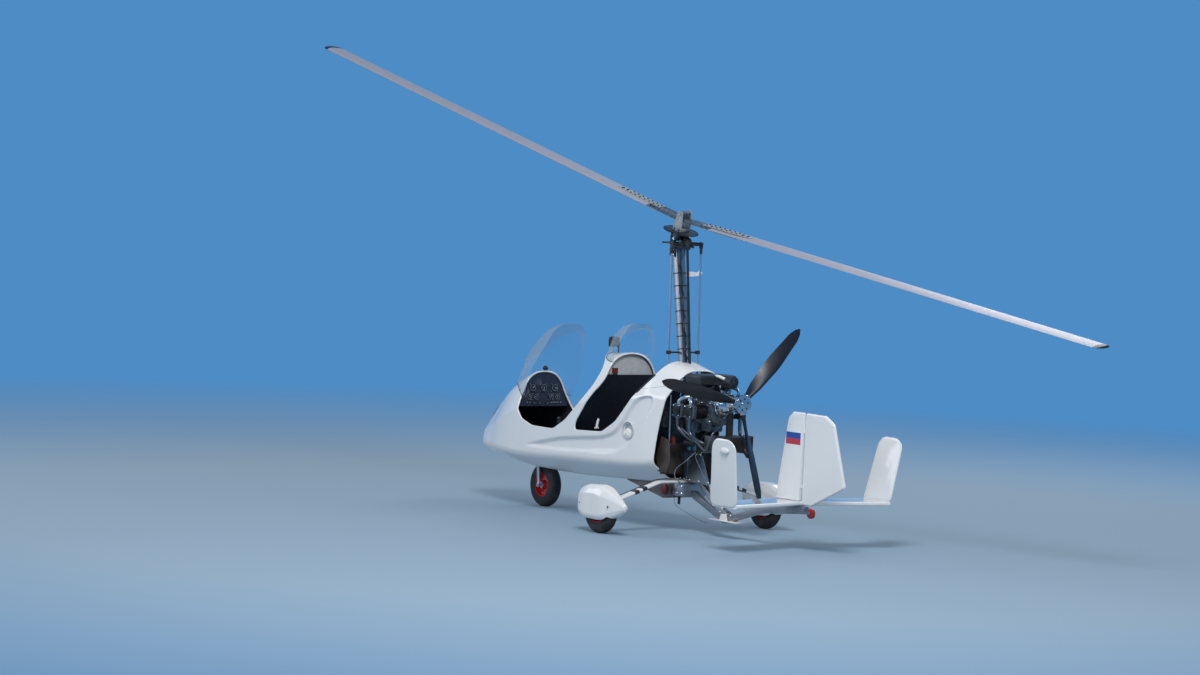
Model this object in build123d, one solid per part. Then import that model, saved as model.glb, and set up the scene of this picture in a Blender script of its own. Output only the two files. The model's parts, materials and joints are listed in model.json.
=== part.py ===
from build123d import *
import os
from math import cos, radians, sin, tan

# A two-seat tandem gyrocopter, parked on its three wheels. Millimetres and degrees.
# +X points to the tail, +Y to starboard and +Z up. The ground is at Z = 0.
# A station is a distance aft of the nose tip.

# Frame and fits
origin_station = 2740.0  # lies near the middle of the rotor's span
seat_gap = 0.3  # between a piece and what it seats on
pin_gap = 0.05  # radial clearance of a running pin
overlap = 1.0  # of two shapes that are joined into one
reach = 700.0  # half width of a cutting shape, wider than the body
ceiling = 3200.0  # height of a cutting shape, above every piece it cuts
far_aft = 5600.0  # end of a cutting shape, aft of every piece it cuts

# Rotor, sizes along the blades and up the spin axis from the hub bar's middle
hub_shift = 58.0  # aft of the mast's top
hub_rise = 219.0  # above the mast's top
rotor_radius = 4200.0
blade_chord = 200.0
blade_thickness = 24.0
blade_root = 340.0
precone = 3.9
disc_tilt = 15.3  # the spin axis leans aft
blade_heading = 15.76  # the aft blade points this far to starboard
teeter_height = 48.0
bar_width = 100.0
bar_thickness = 25.0
doubler_start = 240.0
doubler_end = 720.0
doubler_width = 92.0
doubler_thickness = 6.0
teeter_block_length = 64.0
teeter_block_wall = 8.0  # above the teeter bolt
tower_gap = 6.0
tower_plate = 10.0
tower_depth = 90.0
tower_plate_depth = 65.0
tower_floor = 72.0
tower_base = 26.0
tower_rise = 26.0  # of the plates above the teeter bolt
bolt_radius = 8.0
bolt_proud = 12.0
ring_radius = 150.0
ring_thickness = 8.0
ring_fit = 0.02  # radial gap to the spindle
ring_holes = 6
ring_hole_radius = 22.0
ring_hole_circle = 90.0
spindle_radius = 20.0
head_length = 96.0
head_width = 124.0
head_height = 62.0
head_gap = 8.0
arm_thickness = 14.0
arm_width = 18.0
cheek_thickness = 12.0
cheek_depth = 70.0
cheek_drop = 90.0
cheek_rise = 60.0

# Mast and controls
mast_top_height = 2385.0
mast_cowl_station = 2802.0
mast_cowl_height = 1421.0
mast_lean = 10.0  # of the upper mast, forwards
mast_knee_station = 2935.0
mast_depth = 60.0
mast_bend = 500.0
mast_tube_width = 40.0
mast_tube_gap = 12.0
mast_slope = tan(radians(mast_lean))
mast_top_station = mast_cowl_station - (mast_top_height - mast_cowl_height) * mast_slope
hub_station = mast_top_station + hub_shift
hub_height = mast_top_height + hub_rise
mast_hole_gap = 10.0
spacer_height = 70.0
rod_half_spacing = 154.0
rod_top_station = mast_top_station + 120.0
rod_top_height = mast_top_height + 15.0
rod_foot_station = 2778.0
rod_foot_height = 1300.0
rod_radius = 9.0
rod_hole_gap = 8.0
rod_guide_height = 1484.0
guide_thickness = 14.0
guide_depth = 18.0
guide_eye_wall = 8.0
shaft_side = 10.0
shaft_top_station = mast_top_station + 120.0
shaft_top_height = mast_top_height - 33.0
shaft_foot_station = 2868.0
shaft_foot_height = 1330.0
shaft_radius = 11.0
gear_case_radius = 26.0
gear_case_height = 80.0
beacon_height = mast_top_height - 245.0
beacon_reach = 185.0
beacon_radius = 22.0
beacon_arm = 14.0
beacon_sink = 12.0  # of the arm into the mast's back edge

# Body shell
wall = 16.0
channel_depth = 9.0
plate = 12.0
cavity_overhang = 60.0
cowl_split_station = 2640.0
cowl_split_height = 1172.0
cowl_split_slope = 9.3
aft_rim_station = 2894.0
aft_rim_top_station = 3050.0
aft_rim_bend_height = 900.0
aft_rim_top_height = 1352.0
aft_rim_radius = 1400.0
opening_radius = 22.0
channel_radius = 14.0

# Body rings: station, low radius, top radius, then (half width, height) from the belly up
body_rings = [
    (0, 18, 18, (30, 510), (55, 545), (55, 600), (30, 640)),
    (40, 45, 45, (64, 470), (108, 520), (108, 640), (64, 722)),
    (160, 60, 80, (100, 436), (182, 500), (176, 705), (98, 862)),
    (300, 70, 115, (122, 420), (232, 488), (222, 740), (116, 958)),
    (450, 75, 150, (140, 408), (268, 480), (256, 775), (130, 1042)),
    (700, 80, 190, (155, 380), (306, 472), (292, 830), (146, 1150)),
    (950, 85, 215, (165, 362), (332, 470), (318, 875), (160, 1236)),
    (1280, 88, 235, (174, 356), (355, 485), (334, 920), (174, 1328)),
    (1600, 90, 250, (180, 356), (370, 500), (345, 965), (185, 1395)),
    (1950, 90, 250, (182, 366), (380, 510), (350, 1015), (190, 1430)),
    (2300, 90, 250, (180, 380), (382, 522), (350, 1055), (190, 1440)),
    (2750, 90, 230, (170, 404), (370, 548), (336, 1120), (180, 1424)),
    (3110, 80, 180, (130, 480), (316, 612), (290, 1120), (150, 1340)),
]

# Side views as (station, height)
front_opening = [
    (800, 1600), (800, 1000), (826, 860), (915, 776), (1100, 727), (1440, 727), (1620, 823),
    (1810, 993), (1930, 1148), (1988, 1300), (1950, 1366), (1850, 1412), (1790, 1500), (1780, 1600),
]
rear_opening = [
    (2062, 1600), (2062, 1236), (2020, 1160), (1946, 1085), (1883, 982), (1760, 815), (1768, 747),
    (2170, 766), (2348, 869), (2466, 997), (2608, 1160), (2740, 1310), (2790, 1400), (2800, 1600),
]
side_channel = [
    (1000, 556), (1593, 571), (2183, 606), (2395, 628), (2571, 712), (2687, 848), (2798, 1042),
    (2806, 1125), (2667, 1107), (2574, 1048), (2459, 895), (2340, 775), (2173, 726), (1584, 668),
]

# Windshields: same columns as the body rings
shield_wall = 5.0
front_shield_rings = [
    (426, 14, 18, (60, 960), (78, 1010), (46, 1058)),
    (571, 40, 70, (176, 940), (196, 1090), (104, 1264)),
    (700, 50, 110, (232, 920), (256, 1130), (138, 1392)),
    (830, 60, 140, (262, 900), (288, 1170), (152, 1486)),
    (1000, 60, 150, (278, 900), (304, 1220), (160, 1590)),
    (1240, 60, 150, (280, 900), (306, 1250), (160, 1652)),
]
front_shield_rake = [(820, 700), (846, 930), (1176, 1640), (1230, 1750), (2200, 1750), (2200, 700)]
rear_shield_rings = [
    (1862, 14, 20, (70, 1300), (96, 1380), (56, 1470)),
    (1910, 30, 60, (140, 1260), (158, 1400), (88, 1566)),
    (2000, 40, 90, (184, 1240), (204, 1430), (112, 1642)),
    (2100, 45, 105, (200, 1240), (218, 1450), (120, 1684)),
    (2240, 45, 105, (204, 1240), (222, 1460), (122, 1696)),
]
rear_shield_rake = [(2046, 1000), (2050, 1290), (2180, 1700), (2200, 1800), (2900, 1800), (2900, 1000)]

# Cockpits
panel_station = 786.0
panel_foot = 800.0
gauge_depth = 7.0
# Gauges: distance to starboard, height, radius
gauges = [
    (-118, 1005, 38), (-150, 905, 31), (-82, 905, 31), (0, 1005, 38), (118, 1005, 38),
    (82, 905, 31), (150, 905, 31), (-96, 836, 18), (-40, 836, 18), (40, 836, 18),
]
compass_station = 770.0
compass_side = 30.0
compass_radius = 24.0
compass_stem = 7.0
bulkhead_foot = (1560.0, 340.0)
bulkhead_low = (1690.0, 760.0)
bulkhead_high = (1975.0, 1150.0)
bulkhead_top = (2036.0, 1245.0)
rear_back_foot = (2310.0, 350.0)
rear_back_low = (2360.0, 640.0)
rear_back_high = (2640.0, 1090.0)
firewall_station = 2700.0
firewall_bend_height = 1120.0
firewall_top_station = 2762.0
seat_half_width = 205.0
pan_half_width = 118.0
pan_wall = 20.0
pan_height = 120.0
cushion_height = 95.0
back_cushion = 75.0
cushion_round = 24.0
front_back_rest = (-0.2, 0.9)  # shares of the slanted wall that the cushion covers
rear_back_rest = (0.0, 1.0)
front_cushion_start = 1180.0
front_cushion_end = 1565.0
rear_cushion_start = 1880.0
rear_cushion_end = 2290.0
stick_stations = (1090.0, 1860.0)
stick_height = 430.0
stick_lean = 50.0
stick_radius = 10.0
grip_radius = 16.0
grip_length = 110.0
pedal_station = 640.0
pedal_side = 95.0
pedal_size = (16.0, 84.0, 50.0)
pedal_low = 110.0
pedal_arm = 18.0
pedal_arm_height = 150.0
pedal_bar_radius = 10.0
pedal_bar_height = 14.0
headrest_station = 1800.0
headrest_half_width = 62.0
headrest_low = 1462.0
headrest_high = 1560.0
headrest_depth = 48.0
headrest_round = 18.0
stand_half_width = 30.0
stand_plate = 8.0
stand_foot = 30.0
stand_sink = 60.0
lamp_low = 600.0
lamp_round = 30.0
lamp_start = 62.0
lamp_end = 236.0
lamp_half_width = 44.0
lamp_proud = 3.0
cap_station = 2521.0
cap_height = 812.0
cap_radius = 60.0
cap_inner = 100.0
cap_proud = 7.0

# Nose gear
nose_wheel_station = 895.0
nose_trail = 30.0
well_radius = 158.0
well_height = 470.0
well_wall = 5.0
well_flange = 20.0
fork_leg_side = 74.0
fork_leg_thickness = 12.0
fork_leg_depth = 34.0
crown_height = 402.0
crown_thickness = 20.0
crown_length = 90.0
steer_radius = 16.0
steer_top = 600.0
steer_tube_wall = 8.0
stem_proud = 12.0

# Wheels
tyre_radius = 190.0
tyre_width = 100.0
tyre_shoulder = 38.0
tyre_slope = 26.6  # width of the sloping shoulder
tyre_bead_rise = 24.0
tyre_round = 16.0
rim_radius = 104.0
rim_width = 84.0
rim_lip = 7.0
rim_web = 14.0
rim_holes = 6
rim_hole_radius = 15.0
rim_hole_circle = 66.0
hub_radius = 30.0
hub_width = 92.0
axle_radius = 10.0
axle_proud = 16.0  # of the nose axle beyond each fork leg

# Main gear
main_wheel_station = 2898.0
half_track = 870.0
bow_station = 2942.0
bow_depth = 74.0
bow_thickness = 22.0
bow_knee = 320.0
bow_tip_side = 799.3
bow_tip_height = 262.0
bow_radius = 160.0
box_start = 2860.0
box_end = 3020.0
box_half_width = 120.0
box_low = 300.0
box_high = 410.0
foot_half_width = 90.0
foot_end = 3010.0
stub_plate = 12.0
stub_height = 56.0
stub_round = 14.0
stub_proud = 8.0  # of the axle beyond the hub
disc_radius = 62.0
disc_thickness = 5.0
fairing_wall = 5.0
leg_hole_gap = 6.0
fairing_slot = 64.0
fairing_slot_length = 192.0
fairing_slot_round = 40.0
leg_hole_side = 60.0  # from the wheel's middle to where the leg hole ends
# Fairing rings: station, low radius, top radius, then (half width, height) from below
fairing_rings = [
    (2608, 12, 12, (16, 196), (30, 222), (30, 256), (16, 284)),
    (2650, 26, 28, (44, 150), (62, 192), (62, 292), (40, 340)),
    (2730, 30, 38, (64, 120), (84, 156), (84, 320), (54, 384)),
    (2850, 30, 40, (70, 112), (88, 150), (88, 330), (58, 401)),
    (2985, 30, 38, (70, 116), (88, 152), (88, 318), (54, 392)),
    (3100, 26, 28, (44, 142), (60, 190), (58, 288), (38, 340)),
    (3232, 10, 10, (10, 208), (20, 226), (20, 246), (10, 262)),
]

# Keel and tail
keel_path = [(3020.0, 322.0), (3465.0, 150.0), (3930.0, 285.0), (4500.0, 337.0)]
keel_depth = 58.0
keel_width = 50.0
keel_bend = 60.0
strut_top = (2900.0, 580.0)
strut_foot = (3420.0, 200.0)
strut_depth = 46.0
gusset = [(3330, 205), (3400, 255), (3500, 215), (3590, 205), (3570, 170), (3460, 135)]
gusset_plate = 5.0
tie_bore = 8.0
tie_station = 3520.0
tie_height = 186.0
saddle_start = 4130.0
saddle_end = 4410.0
saddle_half_width = 62.0
saddle_plate = 8.0
saddle_sink = 16.0  # of its web into the tube
stabiliser_low = 368.0
stabiliser_thickness = 34.0
stabiliser_plan = [(4104, 0), (4268, 790), (4602, 800), (4420, 0)]
fin_outline = [(4112, 402), (4236, 1075), (4290, 1122), (4424, 1122), (4414, 402)]
fin_thickness = 34.0
fin_round = 14.0
hinge_station = 4440.0
hinge_gap = 7.0
rudder_outline = [(4447, 376), (4570, 376), (4975, 560), (4806, 1056), (4690, 1118), (4447, 1122)]
rudder_thickness = 30.0
rudder_round = 22.0
lug_heights = (520.0, 960.0)
lug_thickness = 12.0
lug_radius = 12.0
lug_root = 40.0
lug_play = 5.0  # above and below a lug
slot_depth = 60.0
hinge_pin = 5.0
pin_end = 13.0  # of a hinge pin beyond its slot
pin_root = 30.0
tip_outline = [
    (4268, 395), (4348, 880), (4398, 930), (4568, 926), (4640, 872), (4606, 420), (4560, 376), (4312, 372),
]
tip_thickness = 32.0
tip_round = 34.0
tip_cut = 300.0
tip_side = 797.0
tip_cant = 8.5
tip_cant_height = 395.0
edge_round = 13.0
roller_radius = 42.0
roller_width = 30.0
roller_station = 4560.0
roller_height = 318.0
bracket_thickness = 6.0
bracket_proud = 10.0
bracket_half = 12.0

# Engine
crank_start = 3000.0
crank_end = 3340.0
crank_half_width = 108.0
crank_low = 925.0
crank_high = 1130.0
crank_round = 30.0
cylinder_height = 1030.0
cylinder_stations = (3078.0, 3236.0)
cylinder_stagger = 28.0
barrel_radius = 50.0
fin_radius = 61.0
fin_count = 5
fin_sheet = 4.0
fin_start = 0.6  # of one fin pitch
barrel_end = 222.0
head_end = 286.0
cylinder_head_size = 112.0
cylinder_head_round = 18.0
gearbox_radius = 100.0
gearbox_height = 1090.0
gearbox_end = 3500.0
nose_radius = 52.0
nose_end = 3552.0
mount_height = 40.0
mount_half_width = 46.0
mount_levels = (965.0, 1085.0)
manifold_reach = 205.0
manifold_thickness = 22.0
manifold_length = 70.0
carb_station = 3165.0
carb_side = 168.0
carb_radius = 28.0
carb_height = 100.0
airbox_start = 3062.0
airbox_end = 3285.0
airbox_half_width = 190.0
airbox_height = 84.0
airbox_round = 24.0
filter_start = 3400.0
filter_end = 3486.0
filter_radius = 50.0
filter_arm = 13.0
filter_height = 1290.0
filter_round = 8.0
arm_sink = 30.0  # of the filter's arm into the box
pipe_radius = 16.0
pipe_drop_height = 830.0
pipe_bend = 70.0
pipe_side = 50.0  # from the muffler's end to the first pipe
pipe_step = 70.0
pipe_level_step = 30.0
muffler_station = 3450.0
muffler_height = 778.0
muffler_radius = 70.0
muffler_half_width = 205.0
muffler_round = 16.0
strap_half_length = 30.0
strap_half_width = 20.0
strap_sink = 30.0  # into the gearbox
tray_outline = [(2275, 460), (2275, 372), (2790, 267), (2860, 296), (2860, 460)]
tray_half_width = 150.0
tray_round = 12.0
antenna_station = 2800.0
antenna_length = 34.0
antenna_drop = 52.0
antenna_thickness = 6.0
antenna_sink = 20.0

# Propeller
prop_station = 3592.0
prop_height = 1121.0
prop_radius = 855.0
prop_blades = 3
prop_heading = 47.0  # of the first blade, from starboard towards up
prop_hub_radius = 78.0
prop_hub_half = 30.0
prop_hub_round = 5.0
prop_bore = 14.0
prop_hole_circle = 48.0
prop_hole_radius = 9.0
prop_hole_depth = 20.0
prop_shaft_radius = 18.0
prop_holes = 6
blade_sink = 6.0  # of a blade's root into the hub
# Blade sections: share of the way out, chord, thickness, pitch
prop_sections = [
    (0.0, 62, 40, 62), (0.18, 104, 30, 48), (0.5, 128, 17, 31), (0.86, 96, 10, 20), (1.0, 52, 6, 17),
]


def at(station):
    return station - origin_station


def across(station):
    return Plane(origin=(at(station), 0, 0), x_dir=(0, 1, 0), z_dir=(1, 0, 0))


def ring(station, low_radius, top_radius, corners, inset=0.0, middle=0.0):
    right = [(y, z) for y, z in corners]
    left = [(-y, z) for y, z in reversed(corners)]
    outline = Polygon(*right, *left, align=None)
    tops = outline.vertices().sort_by(Axis.Y)[-2:]
    outline = fillet(tops, top_radius)
    lows = [v for v in outline.vertices()
            if any(abs(abs(v.X) - y) + abs(v.Y - z) < pin_gap for y, z in corners)]
    outline = fillet(lows, low_radius)
    if inset:
        outline = offset(outline, -inset)
    return across(station) * Pos(middle, 0) * outline


def hull(rings, inset=0.0, overhang=0.0, middle=0.0):
    faces = []
    for index, (station, low_radius, top_radius, *corners) in enumerate(rings):
        first = inset if index == 0 else 0
        last = overhang if index == len(rings) - 1 else 0
        faces.append(ring(station + first + last, low_radius, top_radius, corners, inset, middle))
    return loft(faces, ruled=True)


def side_prism(points, low, high, radius=0.0):
    outline = Polygon(*[(at(s), z) for s, z in points], align=None)
    if radius:
        outline = fillet(outline.vertices(), radius)
    return Pos(0, high, 0) * extrude(Plane.XZ * outline, high - low, dir=(0, -1, 0))


def block(start, end, low_side, high_side, low, high):
    size = (end - start, high_side - low_side, high - low)
    middle = (at((start + end) / 2), (low_side + high_side) / 2, (low + high) / 2)
    return Pos(*middle) * Box(*size)


def rod(start, end, radius):
    direction = Vector(*end) - Vector(*start)
    return Plane(origin=start, z_dir=direction) * Cylinder(
        radius, direction.length, align=(Align.CENTER, Align.CENTER, Align.MIN))


def cross_rod(station, low_side, high_side, height, radius):
    return rod((at(station), low_side, height), (at(station), high_side, height), radius)


def column(low, high, radius):
    return Pos(0, 0, low) * Cylinder(radius, high - low, align=(Align.CENTER, Align.CENTER, Align.MIN))


def beam(start, end, depth, width):
    """Rectangular bar in the plane of symmetry from one (station, height) to another."""
    run = Vector(at(end[0]) - at(start[0]), 0, end[1] - start[1])
    plane = Plane(origin=(at(start[0]), 0, start[1]), x_dir=(0, 1, 0), z_dir=run)
    return plane * Box(width, depth, run.length, align=(Align.CENTER, Align.CENTER, Align.MIN))


def slanted_plate(points, thickness):
    """Plate whose middle follows a line in side view, as wide as the body."""
    line = Polyline(*[(at(s), z) for s, z in points])
    return Pos(0, reach, 0) * extrude(Plane.XZ * trace(line, thickness), 2 * reach, dir=(0, -1, 0))


def top_of_body(station):
    for low, high in zip(body_rings, body_rings[1:]):
        if low[0] <= station <= high[0]:
            share = (station - low[0]) / (high[0] - low[0])
            return low[-1][1] + share * (high[-1][1] - low[-1][1])


def floor_of_body(station):
    for low, high in zip(body_rings, body_rings[1:]):
        if low[0] <= station <= high[0]:
            share = (station - low[0]) / (high[0] - low[0])
            return low[3][1] + share * (high[3][1] - low[3][1]) + wall


# Rotor frame: x along the aft blade, z along the spin axis
rotor_frame = Plane(
    origin=(at(hub_station), 0, hub_height),
    x_dir=(cos(radians(disc_tilt)), 0, -sin(radians(disc_tilt))),
    z_dir=(sin(radians(disc_tilt)), 0, cos(radians(disc_tilt))),
)
blade_frame = rotor_frame * Rot(0, 0, blade_heading)

outer_body = hull(body_rings)
cavity = hull(body_rings, wall, cavity_overhang)
body_skin = outer_body - cavity
lining = hull(body_rings, wall + seat_gap, cavity_overhang)
front_cut = side_prism(front_opening, -reach, reach, opening_radius)
rear_cut = side_prism(rear_opening, -reach, reach, opening_radius)
steer_station = nose_wheel_station - nose_trail


def bent_bar(points, depth, radius, low_side, high_side):
    """Flat bar that follows a line in side view, with its ends cut upright or level by the caller."""
    line = FilletPolyline(*[(at(s), z) for s, z in points], radius=radius)
    return Pos(0, high_side, 0) * extrude(
        Plane.XZ * trace(line, depth), high_side - low_side, dir=(0, -1, 0))


def mast_bars(grow=0.0):
    """The two tubes of the mast, from the gear clamp up to the rotor head."""
    bend_height = mast_top_height - (mast_knee_station - mast_top_station) / mast_slope
    foot_height = box_high + bow_thickness + 2 * seat_gap + plate
    knee = (mast_knee_station, bend_height)
    line = [(mast_top_station, mast_top_height), knee, (mast_knee_station, foot_height)]
    bars = []
    for side in (-1, 1):
        near = side * (mast_tube_gap / 2 - grow)
        far = side * (mast_tube_gap / 2 + mast_tube_width + grow)
        bar = bent_bar(line, mast_depth + 2 * grow, mast_bend, min(near, far), max(near, far))
        bars.append(bar & block(0, far_aft, -reach, reach, foot_height, mast_top_height))
    return bars


def body_shell():
    """The whole hollow skin, before it is parted into tub and cowl."""
    rim = [
        (aft_rim_station, 0), (aft_rim_station, aft_rim_bend_height),
        (aft_rim_top_station, aft_rim_top_height), (aft_rim_top_station, ceiling),
        (far_aft, ceiling), (far_aft, 0),
    ]
    outline = Polygon(*[(at(s), z) for s, z in rim], align=None)
    bends = [v for v in outline.vertices() if abs(v.Y - aft_rim_bend_height) < overlap]
    outline = fillet(bends, aft_rim_radius)
    rim_cut = Pos(0, reach, 0) * extrude(Plane.XZ * outline, 2 * reach, dir=(0, -1, 0))
    groove = outer_body - hull(body_rings, channel_depth)
    groove &= side_prism(side_channel, -reach, reach, channel_radius)
    shell = outer_body - rim_cut - front_cut - rear_cut - cavity
    return shell - groove


def cowl_space():
    """Everything above the parting line between tub and cowl."""
    rise = (far_aft - cowl_split_station) * tan(radians(cowl_split_slope))
    line = [(cowl_split_station, ceiling), (cowl_split_station, cowl_split_height),
            (far_aft, cowl_split_height + rise), (far_aft, ceiling)]
    return side_prism(line, -reach, reach)


def fuselage_tub(shell):
    tub = shell - cowl_space()
    well = Pos(at(steer_station), 0, 0) * Cylinder(well_radius, 2 * well_height)
    tub -= well
    return largest(tub)


def rear_cowl(shell):
    cowl = shell & cowl_space()
    for bar in mast_bars(mast_hole_gap):
        cowl -= bar
    for rod_hole in push_rod_shapes(rod_radius + rod_hole_gap):
        cowl -= rod_hole
    cowl -= shaft_shape(shaft_radius + rod_hole_gap)
    return largest(cowl)


def largest(part):
    return sorted(part.solids(), key=lambda solid: solid.volume)[-1]


def push_rod_shapes(radius):
    rods = []
    for side in (-1, 1):
        top = (at(rod_top_station), side * rod_half_spacing, rod_top_height - seat_gap)
        foot = (at(rod_foot_station), side * rod_half_spacing, rod_foot_height)
        rods.append(rod(foot, top, radius))
    return rods


def shaft_shape(radius):
    top = (at(shaft_top_station), shaft_side, shaft_top_height)
    foot = (at(shaft_foot_station), shaft_side, shaft_foot_height)
    return rod(foot, top, radius)


def bulkhead():
    wall_line = [bulkhead_foot, bulkhead_low, bulkhead_high, bulkhead_top]
    return slanted_plate(wall_line, plate) & lining & block(0, far_aft, -reach, reach, 0, bulkhead_top[1])


def rear_panel():
    dome = block(bulkhead_top[0] - plate / 2, bulkhead_top[0] + plate / 2, -reach, reach,
                 bulkhead_top[1] + seat_gap, ceiling)
    return dome & lining


def firewall():
    line = [(firewall_station, 0), (firewall_station, firewall_bend_height), (firewall_top_station, ceiling)]
    return (slanted_plate(line, plate) & lining) - rear_cut


def rear_seat_back_panel():
    meet = firewall_station - plate / 2 - seat_gap
    panel = slanted_plate([rear_back_foot, rear_back_low, rear_back_high], plate) & lining
    return panel & block(0, meet, -reach, reach, 0, ceiling)


def instrument_panel():
    face = block(panel_station, panel_station + plate, -reach, reach, panel_foot, ceiling) & lining
    for side, height, radius in gauges:
        start = (at(panel_station + plate), side, height)
        face += rod(start, (start[0] + gauge_depth, side, height), radius)
    return face


def compass():
    base = top_of_body(compass_station)
    centre = base + compass_stem + compass_radius
    ball = Pos(at(compass_station), compass_side, centre) * Sphere(compass_radius)
    foot = (at(compass_station), compass_side, base - wall / 2)
    stem = rod(foot, (foot[0], compass_side, centre), compass_radius / 2)
    return (ball + stem) - outer_body


def windshield(rings, rake):
    shell = hull(rings) - hull(rings, shield_wall, shield_wall)
    shell = shell - side_prism(rake, -reach, reach)
    return largest(shell - outer_body)


def seat_pans():
    pans = Part()
    for start, end in ((front_cushion_start, front_cushion_end), (rear_cushion_start, rear_cushion_end)):
        low = max(floor_of_body(start), floor_of_body(end))
        high = low + pan_height
        first = start + pan_wall
        last = end - pan_wall
        outer = block(first, last, -pan_half_width, pan_half_width, low, high)
        side = pan_half_width - pan_wall
        inner = block(first + pan_wall, last - pan_wall, -side, side, low - pan_wall, high - pan_wall)
        pans += outer - inner
    return pans


def seat_cushion(start, end):
    low = max(floor_of_body(start), floor_of_body(end)) + pan_height + seat_gap
    cushion = block(start, end, -seat_half_width, seat_half_width, low, low + cushion_height)
    return fillet(cushion.edges(), cushion_round)


def back_rest(low, high, shares):
    """Cushion lying on the front face of a slanted wall, from one share of its length to another."""
    start, end = shares
    run = Vector(high[0] - low[0], 0, high[1] - low[1])
    base = Vector(at(low[0]), 0, low[1])
    plane = Plane(origin=base + run * start, x_dir=(0, 1, 0), z_dir=run)
    length = run.length * (end - start)
    shift = plate / 2 + seat_gap + back_cushion / 2
    cushion = Box(2 * seat_half_width, back_cushion, length, align=(Align.CENTER, Align.CENTER, Align.MIN))
    return plane * Pos(0, shift, 0) * fillet(cushion.edges(), cushion_round)


def headrest():
    pad = block(headrest_station - headrest_depth / 2, headrest_station + headrest_depth / 2,
                -headrest_half_width, headrest_half_width, headrest_low, headrest_high)
    pad = fillet(pad.edges(), headrest_round)
    back = headrest_station + headrest_depth / 2 + seat_gap
    skin = top_of_body(back)
    low = skin - stand_sink
    high = headrest_high - stand_foot
    stem = block(back, back + stand_plate, -stand_half_width, stand_half_width, low, high)
    foot = block(back, back + stand_foot, -stand_half_width, stand_half_width, low, skin + stand_plate)
    stand = (stem + foot) - outer_body
    return pad, stand


def control_sticks():
    sticks = Part()
    for station in stick_stations:
        low = floor_of_body(station)
        foot = (at(station), 0, low)
        top = (at(station - stick_lean), 0, low + stick_height)
        share = 1 - grip_length / stick_height
        reach_up = (at(station - stick_lean * share), 0, low + stick_height * share)
        sticks += rod(foot, top, stick_radius) + rod(reach_up, top, grip_radius)
        sticks += Pos(at(station), 0, low + stick_radius) * Cylinder(3 * stick_radius, 2 * stick_radius)
    return sticks - body_skin


def rudder_pedals():
    low = floor_of_body(pedal_station)
    pedals = Part()
    for side in (-1, 1):
        middle = side * pedal_side
        depth, width, height = pedal_size
        pedals += block(pedal_station - pedal_arm / 2, pedal_station + pedal_arm / 2, middle - pedal_arm / 2,
                        middle + pedal_arm / 2, low, low + pedal_arm_height)
        pedals += block(pedal_station - depth, pedal_station, middle - width / 2, middle + width / 2,
                        low + pedal_low, low + pedal_low + height)
    bar_height = low + pedal_bar_height
    pedals += rod((at(pedal_station), -pedal_side, bar_height), (at(pedal_station), pedal_side, bar_height),
                  pedal_bar_radius)
    return pedals - body_skin


def nose_lamp():
    glass = hull(body_rings, -lamp_proud)
    patch = block(lamp_start, lamp_end, -lamp_half_width, lamp_half_width, lamp_low, ceiling)
    patch = fillet(patch.edges().filter_by(Axis.Z), lamp_round)
    return largest((glass & patch) - outer_body)


def fuel_cap():
    skin = hull(body_rings, channel_depth)
    limit = hull(body_rings, -cap_proud)
    stub = rod((at(cap_station), -reach, cap_height), (at(cap_station), -cap_inner, cap_height), cap_radius)
    return largest((stub & limit) - skin)


def nose_wheel_well():
    """Closed pan over the nose wheel with the tube that carries the steering stem."""
    low = floor_of_body(steer_station)
    centre = Pos(at(steer_station), 0, 0)
    roof = well_height - well_wall
    pan = column(low, low + well_wall, well_radius + well_wall + well_flange)
    pan += column(low, well_height, well_radius + well_wall)
    pan -= column(0, roof, well_radius)
    pan += column(roof, steer_top, steer_radius + steer_tube_wall)
    pan -= Cylinder(steer_radius + pin_gap, ceiling)
    return (centre * pan) - body_skin


def nose_fork():
    crown_side = fork_leg_side + fork_leg_thickness / 2
    crown_top = crown_height + crown_thickness
    half = fork_leg_depth / 2
    leg_outline = [
        (steer_station - half, crown_top), (steer_station + half, crown_top),
        (nose_wheel_station + half, tyre_radius), (nose_wheel_station + half, tyre_radius - half),
        (nose_wheel_station - half, tyre_radius - half), (nose_wheel_station - half, tyre_radius),
    ]
    fork = block(steer_station - crown_length / 2, steer_station + crown_length / 2,
                 -crown_side, crown_side, crown_height, crown_top)
    for low in (-crown_side, crown_side - fork_leg_thickness):
        fork += side_prism(leg_outline, low, low + fork_leg_thickness)
    fork += Pos(at(steer_station), 0, 0) * column(crown_height, steer_top + stem_proud, steer_radius)
    axle_end = crown_side + axle_proud
    return fork + cross_rod(nose_wheel_station, -axle_end, axle_end, tyre_radius, axle_radius)


def tyre():
    """Tyre about the Y axis, at the origin."""
    half = tyre_width / 2
    bead = rim_width / 2
    seat = rim_radius + seat_gap
    side = rim_radius + tyre_bead_rise
    shoulder = tyre_radius - tyre_shoulder
    crown = half - tyre_slope
    right = [(bead, seat), (half, side), (half, shoulder), (crown, tyre_radius)]
    left = [(-y, z) for y, z in reversed(right)]
    outline = Polygon(*right, *left, align=None)
    outline = fillet([v for v in outline.vertices() if v.Y > seat + overlap], tyre_round)
    profile = Plane(origin=(0, 0, 0), x_dir=(0, 1, 0), z_dir=(1, 0, 0)) * outline
    return revolve(profile, Axis.Y)


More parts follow.
